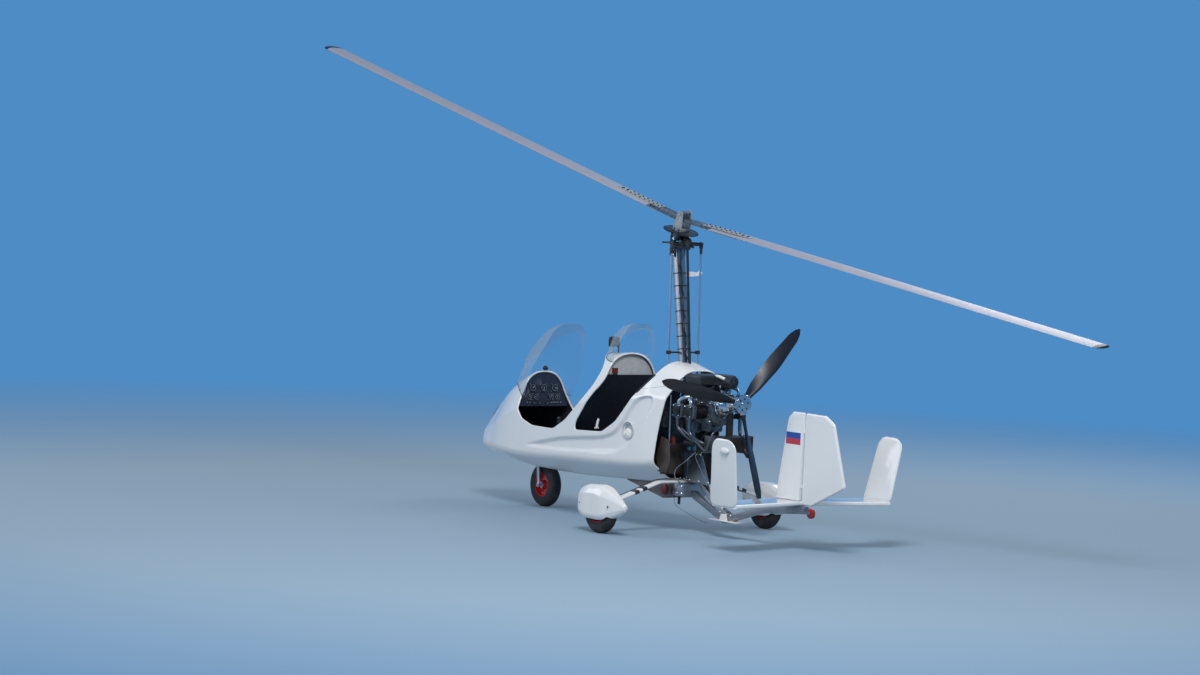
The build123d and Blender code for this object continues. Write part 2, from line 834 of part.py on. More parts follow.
def rim(disc_side=0):
    """Rim about the Y axis with its hub, and a brake disc on one side where asked."""
    half = rim_width / 2
    lip = rim_radius - rim_lip
    barrel = Rot(90, 0, 0) * Cylinder(rim_radius, rim_width)
    barrel -= Rot(90, 0, 0) * Cylinder(lip, rim_width + 2 * overlap)
    web = Rot(90, 0, 0) * Cylinder(lip + overlap, rim_web)
    hub = Rot(90, 0, 0) * Cylinder(hub_radius, hub_width)
    wheel = barrel + web + hub
    for index in range(rim_holes):
        angle = radians(360 * index / rim_holes)
        place = Pos(rim_hole_circle * cos(angle), 0, rim_hole_circle * sin(angle))
        wheel -= place * Rot(90, 0, 0) * Cylinder(rim_hole_radius, half)
    if disc_side:
        edge = disc_side * (hub_width / 2 - disc_thickness / 2)
        wheel += Pos(0, edge, 0) * Rot(90, 0, 0) * Cylinder(disc_radius, disc_thickness)
    return wheel - Rot(90, 0, 0) * Cylinder(axle_radius + pin_gap, 2 * hub_width)


def gear_bow():
    root = box_high + seat_gap + bow_thickness / 2
    right = [(bow_knee, root), (bow_tip_side, bow_tip_height)]
    points = [(-y, z) for y, z in reversed(right)] + right
    line = FilletPolyline(*points, radius=bow_radius)
    face = Plane(origin=(at(bow_station - bow_depth / 2), 0, 0), x_dir=(0, 1, 0), z_dir=(1, 0, 0)) * trace(
        line, bow_thickness)
    bow = extrude(face, bow_depth, dir=(1, 0, 0))
    inner = bow_tip_side - stub_plate - seat_gap
    return bow & block(0, far_aft, -inner, inner, 0, ceiling)


def axle_stub(side):
    """Plate at the end of the bow that holds one stub axle."""
    inner = bow_tip_side - stub_plate
    plate_low = tyre_radius - stub_height / 2
    half = bow_depth / 2
    shape = block(main_wheel_station - half, bow_station + half, inner, bow_tip_side,
                  plate_low, bow_tip_height + bow_thickness)
    shape = fillet(shape.edges().filter_by(Axis.Y), stub_round)
    end = half_track + hub_width / 2 + stub_proud
    shape += cross_rod(main_wheel_station, inner, end, tyre_radius, axle_radius)
    return shape if side > 0 else mirror(shape, about=Plane.XZ)


def wheel_fairing(side):
    """Streamlined shell around one main wheel, carried by the plate at the end of the bow."""
    shell = hull(fairing_rings, middle=half_track)
    shell -= hull(fairing_rings, fairing_wall, -fairing_wall, half_track)
    slot = block(main_wheel_station - fairing_slot_length, main_wheel_station + fairing_slot_length,
                 half_track - fairing_slot, half_track + fairing_slot, 0, tyre_radius)
    shell -= fillet(slot.edges().filter_by(Axis.Z), fairing_slot_round)
    half = bow_depth / 2 + leg_hole_gap
    shell -= block(bow_station - half, bow_station + half, 0, half_track - leg_hole_side,
                   bow_tip_height - bow_thickness / 2 - leg_hole_gap,
                   bow_tip_height + bow_thickness + leg_hole_gap)
    shell = largest(shell)
    return shell if side > 0 else mirror(shell, about=Plane.XZ)


def gear_box():
    return block(box_start, box_end, -box_half_width, box_half_width, box_low, box_high)


def mast():
    foot_high = box_high + bow_thickness + 2 * seat_gap
    foot = block(mast_knee_station - mast_depth / 2, foot_end, -foot_half_width, foot_half_width,
                 foot_high, foot_high + plate)
    tubes = Part() + mast_bars() + foot
    for height in (foot_high + 2 * plate, mast_cowl_height - spacer_height, mast_top_height - spacer_height):
        gap_half = mast_tube_gap / 2 + overlap
        spacer = block(0, far_aft, -gap_half, gap_half, height, height + spacer_height)
        line_space = mast_between()
        tubes += spacer & line_space
    return tubes


def mast_between():
    """The mast's side view as one bar as wide as the gap between its tubes."""
    bar = mast_bars()[1]
    shift = (mast_tube_gap + mast_tube_width) / 2
    return Pos(0, -shift, 0) * bar


def push_rods():
    return push_rod_shapes(rod_radius)


def rod_guide():
    """Cross bracket on the mast with an eye around each push rod."""
    station = rod_top_station + (rod_foot_station - rod_top_station) * (
        (rod_top_height - rod_guide_height) / (rod_top_height - rod_foot_height))
    side = rod_half_spacing
    guide = block(station - guide_depth / 2, station + guide_depth / 2, -side, side,
                  rod_guide_height, rod_guide_height + guide_thickness)
    for end in (-1, 1):
        guide += Pos(at(station), end * side, rod_guide_height + guide_thickness / 2) * Cylinder(
            rod_radius + guide_eye_wall, guide_thickness)
    for shape in push_rod_shapes(rod_radius + seat_gap):
        guide -= shape
    for bar in mast_bars():
        guide -= bar
    return sorted(guide.solids(), key=lambda solid: solid.volume)[-2:]


def gear_case():
    return Pos(at(shaft_top_station), shaft_side, shaft_top_height) * Cylinder(
        gear_case_radius, gear_case_height, align=(Align.CENTER, Align.CENTER, Align.MIN))


def prerotator_shaft():
    return shaft_shape(shaft_radius) + gear_case()


def rotor_head_block():
    top = -(tower_floor + tower_base + ring_thickness + head_gap)
    return rotor_frame * Pos(0, 0, top - head_height / 2) * Box(head_length, head_width, head_height)


def head_arms():
    """Cross bar under the bearing block with an arm aft to each push rod and to the gear case."""
    low = rod_top_height
    high = rod_top_height + arm_thickness
    front = mast_top_station - arm_width / 2
    outer = rod_half_spacing + arm_width / 2
    arms = block(front, mast_top_station + arm_width, -outer, outer, low, high)
    rod_end = rod_top_station + arm_width
    ends = ((rod_end, -rod_half_spacing), (rod_end, rod_half_spacing), (shaft_top_station, shaft_side))
    for end, side in ends:
        arms += block(front, end, side - arm_width / 2, side + arm_width / 2, low, high)
    return arms - gear_case()


def rotor_head():
    """Bearing block under the rotor, its cheeks on the mast and its control arms."""
    inner = mast_tube_gap / 2 + mast_tube_width + seat_gap
    low = mast_top_height - cheek_drop
    high = mast_top_height + cheek_rise
    head = rotor_head_block() + head_arms()
    for near, far in ((-inner - cheek_thickness, -inner), (inner, inner + cheek_thickness)):
        head += block(mast_top_station - cheek_depth / 2, mast_top_station + cheek_depth / 2,
                      near, far, low, high)
    for bar in mast_bars():
        head -= bar
    depth = tower_floor + tower_base + ring_thickness + head_gap + head_height
    return head - rotor_frame * Pos(0, 0, -depth / 2) * Cylinder(spindle_radius + pin_gap, depth)


def rotor_tower():
    """What turns with the spindle: floor, two plates and the teeter bolt."""
    inner = bar_width / 2 + tower_gap
    outer = inner + tower_plate
    tower = Pos(0, 0, -tower_floor - tower_base / 2) * Box(tower_depth, 2 * outer, tower_base)
    high = teeter_height + tower_rise
    for side in (-1, 1):
        plate_shape = Pos(0, side * (inner + outer) / 2, (high - tower_floor) / 2) * Box(
            tower_plate_depth, tower_plate, high + tower_floor)
        tower += plate_shape
    tower += Pos(0, 0, teeter_height) * Rot(90, 0, 0) * Cylinder(bolt_radius, 2 * (outer + bolt_proud))
    ring_top = -tower_floor - tower_base
    length = ring_thickness + head_gap + head_height
    tower += Pos(0, 0, ring_top - length / 2) * Cylinder(spindle_radius, length)
    return blade_frame * tower


def prerotator_ring():
    ring_top = -tower_floor - tower_base
    disc = Pos(0, 0, ring_top - ring_thickness / 2) * Cylinder(ring_radius, ring_thickness)
    disc -= Pos(0, 0, ring_top) * Cylinder(spindle_radius + ring_fit, 4 * ring_thickness)
    for index in range(ring_holes):
        place = Rot(0, 0, 360 * index / ring_holes) * Pos(ring_hole_circle, 0, ring_top)
        disc -= place * Cylinder(ring_hole_radius, 4 * ring_thickness)
    return blade_frame * disc


def hub_bar():
    """Bar with its teeter block and the plates that hold the blade roots."""
    block_height = teeter_height + bolt_radius + teeter_block_wall
    bar = Pos(0, 0, block_height / 2) * Box(teeter_block_length, bar_width, block_height)
    for turn in (0, 180):
        tilt = Rot(0, 0, turn) * Rot(0, -precone, 0)
        root = blade_root - seat_gap
        bar += tilt * Pos(root / 2, 0, 0) * Box(root, bar_width, bar_thickness)
        for level in (-1, 1):
            face = blade_thickness / 2 + seat_gap
            plate_shape = Box(doubler_end - doubler_start, doubler_width, doubler_thickness)
            place = Pos((doubler_start + doubler_end) / 2, 0, level * (face + doubler_thickness / 2))
            bar += tilt * place * plate_shape
    bar -= Pos(0, 0, teeter_height) * Rot(90, 0, 0) * Cylinder(bolt_radius + pin_gap, 2 * bar_width)
    return blade_frame * bar


def lens(chord, thickness):
    """Pointed section made of two arcs, its chord along x."""
    half = chord / 2
    edges = ThreePointArc((-half, 0), (0, thickness / 2), (half, 0)) + ThreePointArc(
        (half, 0), (0, -thickness / 2), (-half, 0))
    return make_face(edges)


def rotor_blades():
    blades = []
    for turn in (0, 180):
        tilt = Rot(0, 0, turn) * Rot(0, -precone, 0)
        root = Plane(origin=(blade_root, 0, 0), x_dir=(0, 1, 0), z_dir=(1, 0, 0))
        blade = extrude(root * lens(blade_chord, blade_thickness), rotor_radius - blade_root, dir=(1, 0, 0))
        blades.append(blade_frame * tilt * blade)
    return blades


def beacon():
    station = mast_top_station + (mast_top_height - beacon_height) * mast_slope + mast_depth / 2
    arm = block(station - beacon_sink, station + beacon_arm, 0, beacon_reach,
                beacon_height, beacon_height + beacon_arm)
    for bar in mast_bars():
        arm -= bar
    arm = largest(arm)
    centre = (at(station + beacon_arm / 2), beacon_reach, beacon_height + beacon_arm / 2)
    return arm + Pos(*centre) * Sphere(beacon_radius)


def keel():
    tube = bent_bar(keel_path, keel_depth, keel_bend, -keel_width / 2, keel_width / 2)
    tube = tube & block(box_end, keel_path[-1][0], -reach, reach, 0, ceiling)
    strut = beam(strut_top, strut_foot, strut_depth, keel_width)
    strut = strut & block(mast_knee_station + mast_depth / 2, far_aft, -reach, reach, 0, ceiling)
    sides = Part()
    for side in (-1, 1):
        near = side * keel_width / 2
        far = side * (keel_width / 2 + gusset_plate)
        sides += side_prism(gusset, min(near, far), max(near, far))
    saddle = block(saddle_start, saddle_end, -saddle_half_width, saddle_half_width,
                   stabiliser_low - saddle_plate, stabiliser_low)
    saddle += block(saddle_start, saddle_end, -keel_width / 2, keel_width / 2,
                    keel_path[2][1] + saddle_sink, stabiliser_low)
    whole = tube + strut + sides + saddle
    return whole - cross_rod(tie_station, -reach, reach, tie_height, tie_bore)


def flat_surface(points, thickness, radius):
    """Upright surface from its side view, with rounded edges, centred on the plane of symmetry."""
    slab = side_prism(points, -thickness / 2, thickness / 2, radius)
    faces = slab.faces().sort_by(Axis.Y)
    return fillet(faces[0].edges() + faces[-1].edges(), edge_round)


def tip_fin(side):
    fin = flat_surface(tip_outline, tip_thickness, tip_round)
    pivot = Pos(0, side * tip_side, tip_cant_height)
    return pivot * Rot(-side * tip_cant, 0, 0) * Pos(0, 0, -tip_cant_height) * fin


def stabiliser():
    half = [(at(s), y) for s, y in stabiliser_plan]
    other = [(x, -y) for x, y in reversed(half) if y]
    plan = Polygon(*half, *other, align=None)
    slab = Pos(0, 0, stabiliser_low) * extrude(plan, stabiliser_thickness, dir=(0, 0, 1))
    faces = slab.faces().sort_by(Axis.Z)
    edges = faces[0].edges() + faces[-1].edges()
    slab = fillet([edge for edge in edges if abs(edge.tangent_at(0.5).Y) > 0.5], edge_round)
    for side in (-1, 1):
        beyond = side_prism(tip_outline, -tip_cut, tip_cut, tip_round)
        slab -= Pos(0, side * (tip_side + tip_cut), 0) * beyond
        slab -= tip_fin(side)
    return largest(slab)


def hinge_lug(height):
    lug = Pos(at(hinge_station), 0, height) * Cylinder(lug_radius, lug_thickness)
    lug += block(fin_outline[4][0] - lug_root, hinge_station, -lug_radius / 2, lug_radius / 2,
                 height - lug_thickness / 2, height + lug_thickness / 2)
    return lug


def fin():
    shape = flat_surface(fin_outline, fin_thickness, fin_round)
    for height in lug_heights:
        shape += hinge_lug(height)
    shape -= Pos(at(hinge_station), 0, 0) * Cylinder(hinge_pin + pin_gap, ceiling)
    return shape


def rudder():
    shape = flat_surface(rudder_outline, rudder_thickness, rudder_round)
    half_slot = lug_thickness / 2 + lug_play
    for height in lug_heights:
        shape -= block(hinge_station - slot_depth, hinge_station + lug_radius + hinge_gap, -reach, reach,
                       height - half_slot, height + half_slot)
        shape += Pos(at(hinge_station), 0, height) * Cylinder(hinge_pin, 2 * (half_slot + pin_end))
        for low in (height - half_slot - pin_end, height + half_slot):
            shape += block(hinge_station - hinge_pin, hinge_station + pin_root, -hinge_pin, hinge_pin,
                           low, low + pin_end)
    return largest(shape)


def tail_bumper():
    roller = cross_rod(roller_station, -roller_width / 2, roller_width / 2, roller_height, roller_radius)
    end = keel_path[-1][0]
    tabs = Part()
    for side in (-1, 1):
        near = side * (roller_width / 2)
        far = side * (roller_width / 2 + bracket_thickness)
        tabs += block(end + seat_gap, roller_station + bracket_proud, min(near, far), max(near, far),
                      roller_height - bracket_half, roller_height + bracket_half)
    return roller + tabs


def engine_block():
    crank = block(crank_start, crank_end, -crank_half_width, crank_half_width, crank_low, crank_high)
    return fillet(crank.edges().filter_by(Axis.X), crank_round)


def gearbox():
    drum_start = (at(crank_end), 0, gearbox_height)
    drum = rod(drum_start, (at(gearbox_end), 0, gearbox_height), gearbox_radius)
    nose = rod((at(gearbox_end), 0, prop_height), (at(nose_end), 0, prop_height), nose_radius)
    shaft = rod((at(nose_end), 0, prop_height), (at(prop_station), 0, prop_height), prop_shaft_radius)
    return drum + nose + shaft


def cylinders():
    banks = []
    for side in (-1, 1):
        for station in cylinder_stations:
            middle = station + (cylinder_stagger if side > 0 else 0)
            base = (at(middle), side * crank_half_width, cylinder_height)
            barrel = rod(base, (at(middle), side * barrel_end, cylinder_height), barrel_radius)
            for index in range(fin_count):
                share = (index + fin_start) / fin_count
                near = side * (crank_half_width + share * (barrel_end - crank_half_width))
                barrel += rod((at(middle), near, cylinder_height),
                              (at(middle), near + side * fin_sheet, cylinder_height), fin_radius)
            half = cylinder_head_size / 2
            low, high = sorted((side * barrel_end, side * head_end))
            head = block(middle - half, middle + half, low, high,
                         cylinder_height - half, cylinder_height + half)
            barrel += fillet(head.edges().filter_by(Axis.Y), cylinder_head_round)
            banks.append(barrel)
    return banks


def engine_mount():
    """Two brackets from the back of the mast to the front of the crankcase."""
    frame = Part()
    for level in mount_levels:
        frame += block(mast_cowl_station, crank_start, -mount_half_width, mount_half_width,
                       level, level + mount_height)
    frame -= Part() + mast_bars()
    mast_back = mast_cowl_station + (mast_cowl_height - mount_levels[-1]) * mast_slope
    return [piece for piece in frame.solids() if piece.center().X > at(mast_back + mast_depth / 2)]


def intake():
    """Manifold across the crankcase with an upright carburettor at each end."""
    low = crank_high + manifold_thickness
    shape = block(carb_station - manifold_length / 2, carb_station + manifold_length / 2,
                  -manifold_reach, manifold_reach, crank_high, low)
    for side in (-1, 1):
        foot = (at(carb_station), side * carb_side, low)
        shape += rod(foot, (foot[0], foot[1], low + carb_height), carb_radius)
    return shape


def airbox():
    low = crank_high + manifold_thickness + carb_height
    box = block(airbox_start, airbox_end, -airbox_half_width, airbox_half_width, low, low + airbox_height)
    box = fillet(box.edges(), airbox_round)
    arm = rod((at(airbox_end - arm_sink), 0, filter_height), (at(filter_start + overlap), 0, filter_height),
              filter_arm)
    filter_body = rod((at(filter_start), 0, filter_height), (at(filter_end), 0, filter_height),
                      filter_radius)
    return box + arm + fillet(filter_body.edges(), filter_round)


def muffler_shape():
    drum = cross_rod(muffler_station, -muffler_half_width, muffler_half_width, muffler_height, muffler_radius)
    return fillet(drum.edges(), muffler_round)


def muffler():
    strap = block(muffler_station - strap_half_length, muffler_station + strap_half_length,
                  -strap_half_width, strap_half_width,
                  muffler_height, gearbox_height - gearbox_radius + strap_sink)
    strap -= Part() + gearbox() + engine_block()
    return muffler_shape() + strap


def exhaust_pipes():
    pipes = []
    half = cylinder_head_size / 2
    for side in (-1, 1):
        for order, station in enumerate(cylinder_stations):
            middle = station + (cylinder_stagger if side > 0 else 0)
            start_side = side * (barrel_end + head_end) / 2
            end_side = side * (muffler_half_width - pipe_side - pipe_step * order)
            points = [(at(middle), start_side, cylinder_height - half),
                      (at(middle), start_side, pipe_drop_height - pipe_level_step * order),
                      (at(muffler_station), end_side, muffler_height)]
            line = FilletPolyline(*points, radius=pipe_bend)
            section = Plane(origin=points[0], z_dir=(0, 0, -1)) * Circle(pipe_radius)
            pipe = sweep(section, line)
            pipes.append(largest(pipe - muffler_shape()))
    return pipes


def belly_tray():
    tray = side_prism(tray_outline, -tray_half_width, tray_half_width)
    tray = fillet(tray.edges().filter_by(Axis.Y).sort_by(Axis.Z)[:2], tray_round)
    return largest(tray - outer_body)


def blade_antenna():
    station = antenna_station
    low = tray_outline[2][1] - antenna_drop
    fin_shape = block(station, station + antenna_length, -antenna_thickness / 2, antenna_thickness / 2,
                      low, tray_outline[3][1] + antenna_sink)
    return largest(fin_shape - belly_tray())


def propeller_hub():
    front = (at(prop_station - prop_hub_half), 0, prop_height)
    back = (at(prop_station + prop_hub_half), 0, prop_height)
    hub = fillet(rod(front, back, prop_hub_radius).edges(), prop_hub_round)
    hub -= rod(front, (at(prop_station), 0, prop_height), prop_shaft_radius + pin_gap)
    hub -= rod((at(prop_station), 0, prop_height), back, prop_bore)
    for index in range(prop_holes):
        angle = radians(360 * (index + 0.5) / prop_holes)
        side = prop_hole_circle * cos(angle)
        height = prop_height + prop_hole_circle * sin(angle)
        floor = (back[0] - prop_hole_depth, side, height)
        hub -= rod(floor, (back[0], side, height), prop_hole_radius)
    return hub


def propeller_blades():
    blades = []
    start = prop_hub_radius - blade_sink
    for index in range(prop_blades):
        sections = []
        for share, chord, thickness, pitch in prop_sections:
            radius = start + share * (prop_radius - start)
            angle = radians(pitch)
            plane = Plane(origin=(0, 0, radius), x_dir=(sin(angle), cos(angle), 0), z_dir=(0, 0, 1))
            sections.append(plane * lens(chord, thickness))
        blade = loft(sections, ruled=True)
        heading = prop_heading - 90 + 360 * index / prop_blades
        placed = Pos(at(prop_station), 0, prop_height) * Rot(heading, 0, 0) * blade
        blades.append(largest(placed - propeller_hub()))
    return blades


def placed_wheel(shape, station, side):
    return Pos(at(station), side, tyre_radius) * shape


def write(name, shape):
    parts = list(shape) if isinstance(shape, (list, tuple)) else [shape]
    solids = [solid for part in parts for solid in part.solids()]
    export_step(Compound(solids), f"parts/{name}.step")
    print(name, len(solids))


os.makedirs("parts", exist_ok=True)
shell = body_shell()
nodes = {
    "fuselage_tub": fuselage_tub(shell),
    "rear_cowl": rear_cowl(shell),
    "cockpit_bulkhead": bulkhead(),
    "rear_panel": rear_panel(),
    "firewall": firewall(),
    "rear_seat_panel": rear_seat_back_panel(),
    "instrument_panel": instrument_panel(),
    "compass": compass(),
    "front_windshield": windshield(front_shield_rings, front_shield_rake),
    "rear_windshield": windshield(rear_shield_rings, rear_shield_rake),
    "seat_pans": seat_pans(),
    "front_seat": [seat_cushion(front_cushion_start, front_cushion_end),
                   back_rest(bulkhead_low, bulkhead_high, front_back_rest)],
    "rear_seat": [seat_cushion(rear_cushion_start, rear_cushion_end),
                  back_rest(rear_back_low, rear_back_high, rear_back_rest)],
    "headrest": headrest(),
    "control_sticks": control_sticks(),
    "rudder_pedals": rudder_pedals(),
    "nose_lamp": nose_lamp(),
    "fuel_cap": fuel_cap(),
    "nose_wheel_well": nose_wheel_well(),
    "nose_fork": nose_fork(),
    "nose_tyre": placed_wheel(tyre(), nose_wheel_station, 0),
    "nose_rim": placed_wheel(rim(), nose_wheel_station, 0),
    "gear_bow": gear_bow(),
    "gear_bracket": gear_box(),
    "mast": mast(),
    "push_rods": push_rods(),
    "rod_guide": rod_guide(),
    "prerotator_shaft": prerotator_shaft(),
    "beacon": beacon(),
    "rotor_head": rotor_head(),
    "rotor_tower": rotor_tower(),
    "prerotator_ring": prerotator_ring(),
    "hub_bar": hub_bar(),
    "rotor_blades": rotor_blades(),
    "keel": keel(),
    "stabiliser": stabiliser(),
    "fin": fin(),
    "rudder": rudder(),
    "side_fins": [tip_fin(-1), tip_fin(1)],
    "tail_bumper": tail_bumper(),
    "crankcase": engine_block(),
    "gearbox": gearbox(),
    "cylinders": cylinders(),
    "engine_mount": engine_mount(),
    "intake": intake(),
    "airbox": airbox(),
    "exhaust_pipes": exhaust_pipes(),
    "muffler": muffler(),
    "belly_tray": belly_tray(),
    "blade_antenna": blade_antenna(),
    "propeller_hub": propeller_hub(),
    "propeller_blades": propeller_blades(),
}
for side, name in ((-1, "left"), (1, "right")):
    nodes[f"{name}_tyre"] = placed_wheel(tyre(), main_wheel_station, side * half_track)
    nodes[f"{name}_rim"] = placed_wheel(rim(-side), main_wheel_station, side * half_track)
nodes["axle_stubs"] = [axle_stub(-1), axle_stub(1)]
nodes["wheel_fairings"] = [wheel_fairing(-1), wheel_fairing(1)]
for name, shape in nodes.items():
    write(name, shape)
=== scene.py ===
import json
import math
import bpy
import bmesh
import numpy as np
from mathutils import Matrix, Vector
from mathutils.bvhtree import BVHTree

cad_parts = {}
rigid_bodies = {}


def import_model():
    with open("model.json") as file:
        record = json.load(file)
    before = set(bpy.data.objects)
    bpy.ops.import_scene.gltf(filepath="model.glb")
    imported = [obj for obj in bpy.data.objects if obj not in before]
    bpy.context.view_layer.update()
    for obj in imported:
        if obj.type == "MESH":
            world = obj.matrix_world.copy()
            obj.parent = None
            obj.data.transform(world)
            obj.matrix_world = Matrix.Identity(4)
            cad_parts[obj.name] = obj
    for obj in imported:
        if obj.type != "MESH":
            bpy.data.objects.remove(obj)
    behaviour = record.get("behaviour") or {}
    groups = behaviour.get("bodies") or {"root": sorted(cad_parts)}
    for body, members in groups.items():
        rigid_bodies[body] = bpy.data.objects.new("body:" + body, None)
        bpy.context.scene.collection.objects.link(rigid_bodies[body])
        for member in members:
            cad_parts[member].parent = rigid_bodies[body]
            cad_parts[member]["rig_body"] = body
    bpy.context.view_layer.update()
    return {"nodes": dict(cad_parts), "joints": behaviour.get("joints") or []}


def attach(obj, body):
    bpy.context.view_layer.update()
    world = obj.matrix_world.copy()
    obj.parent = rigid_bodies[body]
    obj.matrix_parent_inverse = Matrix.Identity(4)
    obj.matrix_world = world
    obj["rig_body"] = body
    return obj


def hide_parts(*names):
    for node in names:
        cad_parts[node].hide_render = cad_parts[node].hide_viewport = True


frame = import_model()
nodes = frame["nodes"]
scene = bpy.context.scene
scene.view_settings.view_transform = "Standard"
print("frame loaded:", len(nodes), "nodes")

# A station is a distance aft of the nose tip; the frame's X starts at this station, in metres
originStation = 2.740

# The camera stands where the photograph was taken from
view = {
    "place": (27.098, -20.910, 3.362),
    "right": (0.59236, 0.80429, 0.04729),
    "up": (-0.06990, -0.00717, 0.99753),
    "lens": 122.39,
    "sensor": 36.0,
    "far": 400.0,
}

studio = {
    "backdrop": (0.075, 0.262, 0.560),
    "floor": (0.26, 0.37, 0.49),
    "floorSize": 160.0,
    "fadeStart": 6.0,  # the floor turns into the backdrop between these distances
    "fadeEnd": 17.0,
    "skyLight": 0.50,
    # name: (place, watts, width)
    "lamps": {
        "keyLamp": ((7.5, -6.0, 11.0), 1050.0, 4.0),
        "fillLamp": ((-9.0, -9.0, 5.0), 240.0, 6.0),
        "backLamp": ((-4.0, 10.0, 8.0), 320.0, 5.0),
    },
}


bothSides = (-1, 1)
standing = Matrix.Rotation(math.pi / 2, 4, "X")  # stands an outline upright, along the aircraft


def station(distance):
    return distance - originStation


def at(along, side, height):
    return Vector((station(along), side, height))


def beside(place, side):
    # the place itself, or its mirror image to port
    along, away, height = place
    return at(along, side * away, height)


def spoke(angle):
    # a direction square to the aircraft's length, turning from starboard to the top
    return Vector((0, math.cos(angle), math.sin(angle)))


def link(item):
    scene.collection.objects.link(item)
    return item


def setCamera():
    right, up = Vector(view["right"]), Vector(view["up"])
    turn = Matrix((right, up, right.cross(up))).transposed().to_4x4()
    lens = bpy.data.cameras.new("camera")
    lens.lens = view["lens"]
    lens.sensor_width = view["sensor"]
    lens.clip_end = view["far"]
    camera = link(bpy.data.objects.new("camera", lens))
    camera.matrix_world = Matrix.Translation(view["place"]) @ turn
    scene.camera = camera


def setLamps():
    for name, (place, watts, width) in studio["lamps"].items():
        light = bpy.data.lights.new(name, "AREA")
        light.energy = watts
        light.size = width
        lamp = link(bpy.data.objects.new(name, light))
        lamp.location = place
        aim = Vector((0.0, 0.0, 1.0)) - Vector(place)
        lamp.rotation_euler = aim.to_track_quat("-Z", "Y").to_euler()


# Shader maths: a Wire is a socket that can be added, multiplied and compared
def plug(tree, entry, value):
    if isinstance(value, Wire):
        tree.links.new(value.socket, entry)
    elif entry.type == "RGBA" and len(value) == 3:
        entry.default_value = (*value, 1.0)
    else:
        entry.default_value = value


class Wire:
    def __init__(self, tree, socket):
        self.tree = tree
        self.socket = socket

    def maths(self, operation, *values):
        node = self.tree.nodes.new("ShaderNodeMath")
        node.operation = operation
        for entry, value in zip(node.inputs, values):
            plug(self.tree, entry, value)
        return Wire(self.tree, node.outputs[0])

    def __radd__(self, other):
        return self.maths("ADD", other, self)

    def __rsub__(self, other):
        return self.maths("SUBTRACT", other, self)

    def __rmul__(self, other):
        return self.maths("MULTIPLY", other, self)

    def __abs__(self):
        return self.maths("ABSOLUTE", self)

    def ramp(self, low, high):
        return self.maths("SMOOTH_MIN", self.maths("MAXIMUM", (self - low) / (high - low), 0.0), 1.0, 0.05)


for name, operation in {"add": "ADD", "sub": "SUBTRACT", "mul": "MULTIPLY", "truediv": "DIVIDE", "lt": "LESS_THAN",
                        "gt": "GREATER_THAN"}.items():
    setattr(Wire, "__" + name + "__", lambda self, other, operation=operation: self.maths(operation, self, other))


class Recipe:
    def __init__(self, name):
        self.material = bpy.data.materials.new(name)
        self.material.use_nodes = True
        self.tree = self.material.node_tree
        self.tree.nodes.clear()
        self.place = self.add("TexCoord", output="Object")

    def add(self, kind, settings=(), sockets=(), output=0):
        node = self.tree.nodes.new("ShaderNode" + kind)
        for key, value in dict(settings).items():
            setattr(node, key, value)
        for key, value in dict(sockets).items():
            plug(self.tree, node.inputs[key], value)
        return Wire(self.tree, node.outputs[output]) if node.outputs else None

    def axes(self):
        apart = self.add("SeparateXYZ", sockets={0: self.place})
        return [Wire(self.tree, entry) for entry in apart.socket.node.outputs]

    def noise(self, scale, detail=3.0, stretch=(1.0, 1.0, 1.0)):
        spot = self.add("Mapping", sockets={"Vector": self.place, "Scale": stretch})
        return self.add("TexNoise", sockets={"Vector": spot, "Scale": scale, "Detail": detail})

    def mix(self, factor, first, second):
        return self.add("Mix", {"data_type": "RGBA"}, {0: factor, 6: first, 7: second}, output=2)

    def bump(self, height, strength, distance=0.001, under=None):
        sockets = {"Height": height, "Strength": strength, "Distance": distance}
        if under:
            sockets["Normal"] = under
        return self.add("Bump", sockets=sockets)

    def finish(self, colour, roughness, normal=None, **fixed):
        sockets = {"Base Color": colour, "Roughness": roughness}
        if normal:
            sockets["Normal"] = normal
        sockets.update({name.replace("_", " "): value for name, value in fixed.items()})
        shader = self.add("BsdfPrincipled", sockets=sockets)
        self.add("OutputMaterial", sockets={"Surface": shader})
        return self.material


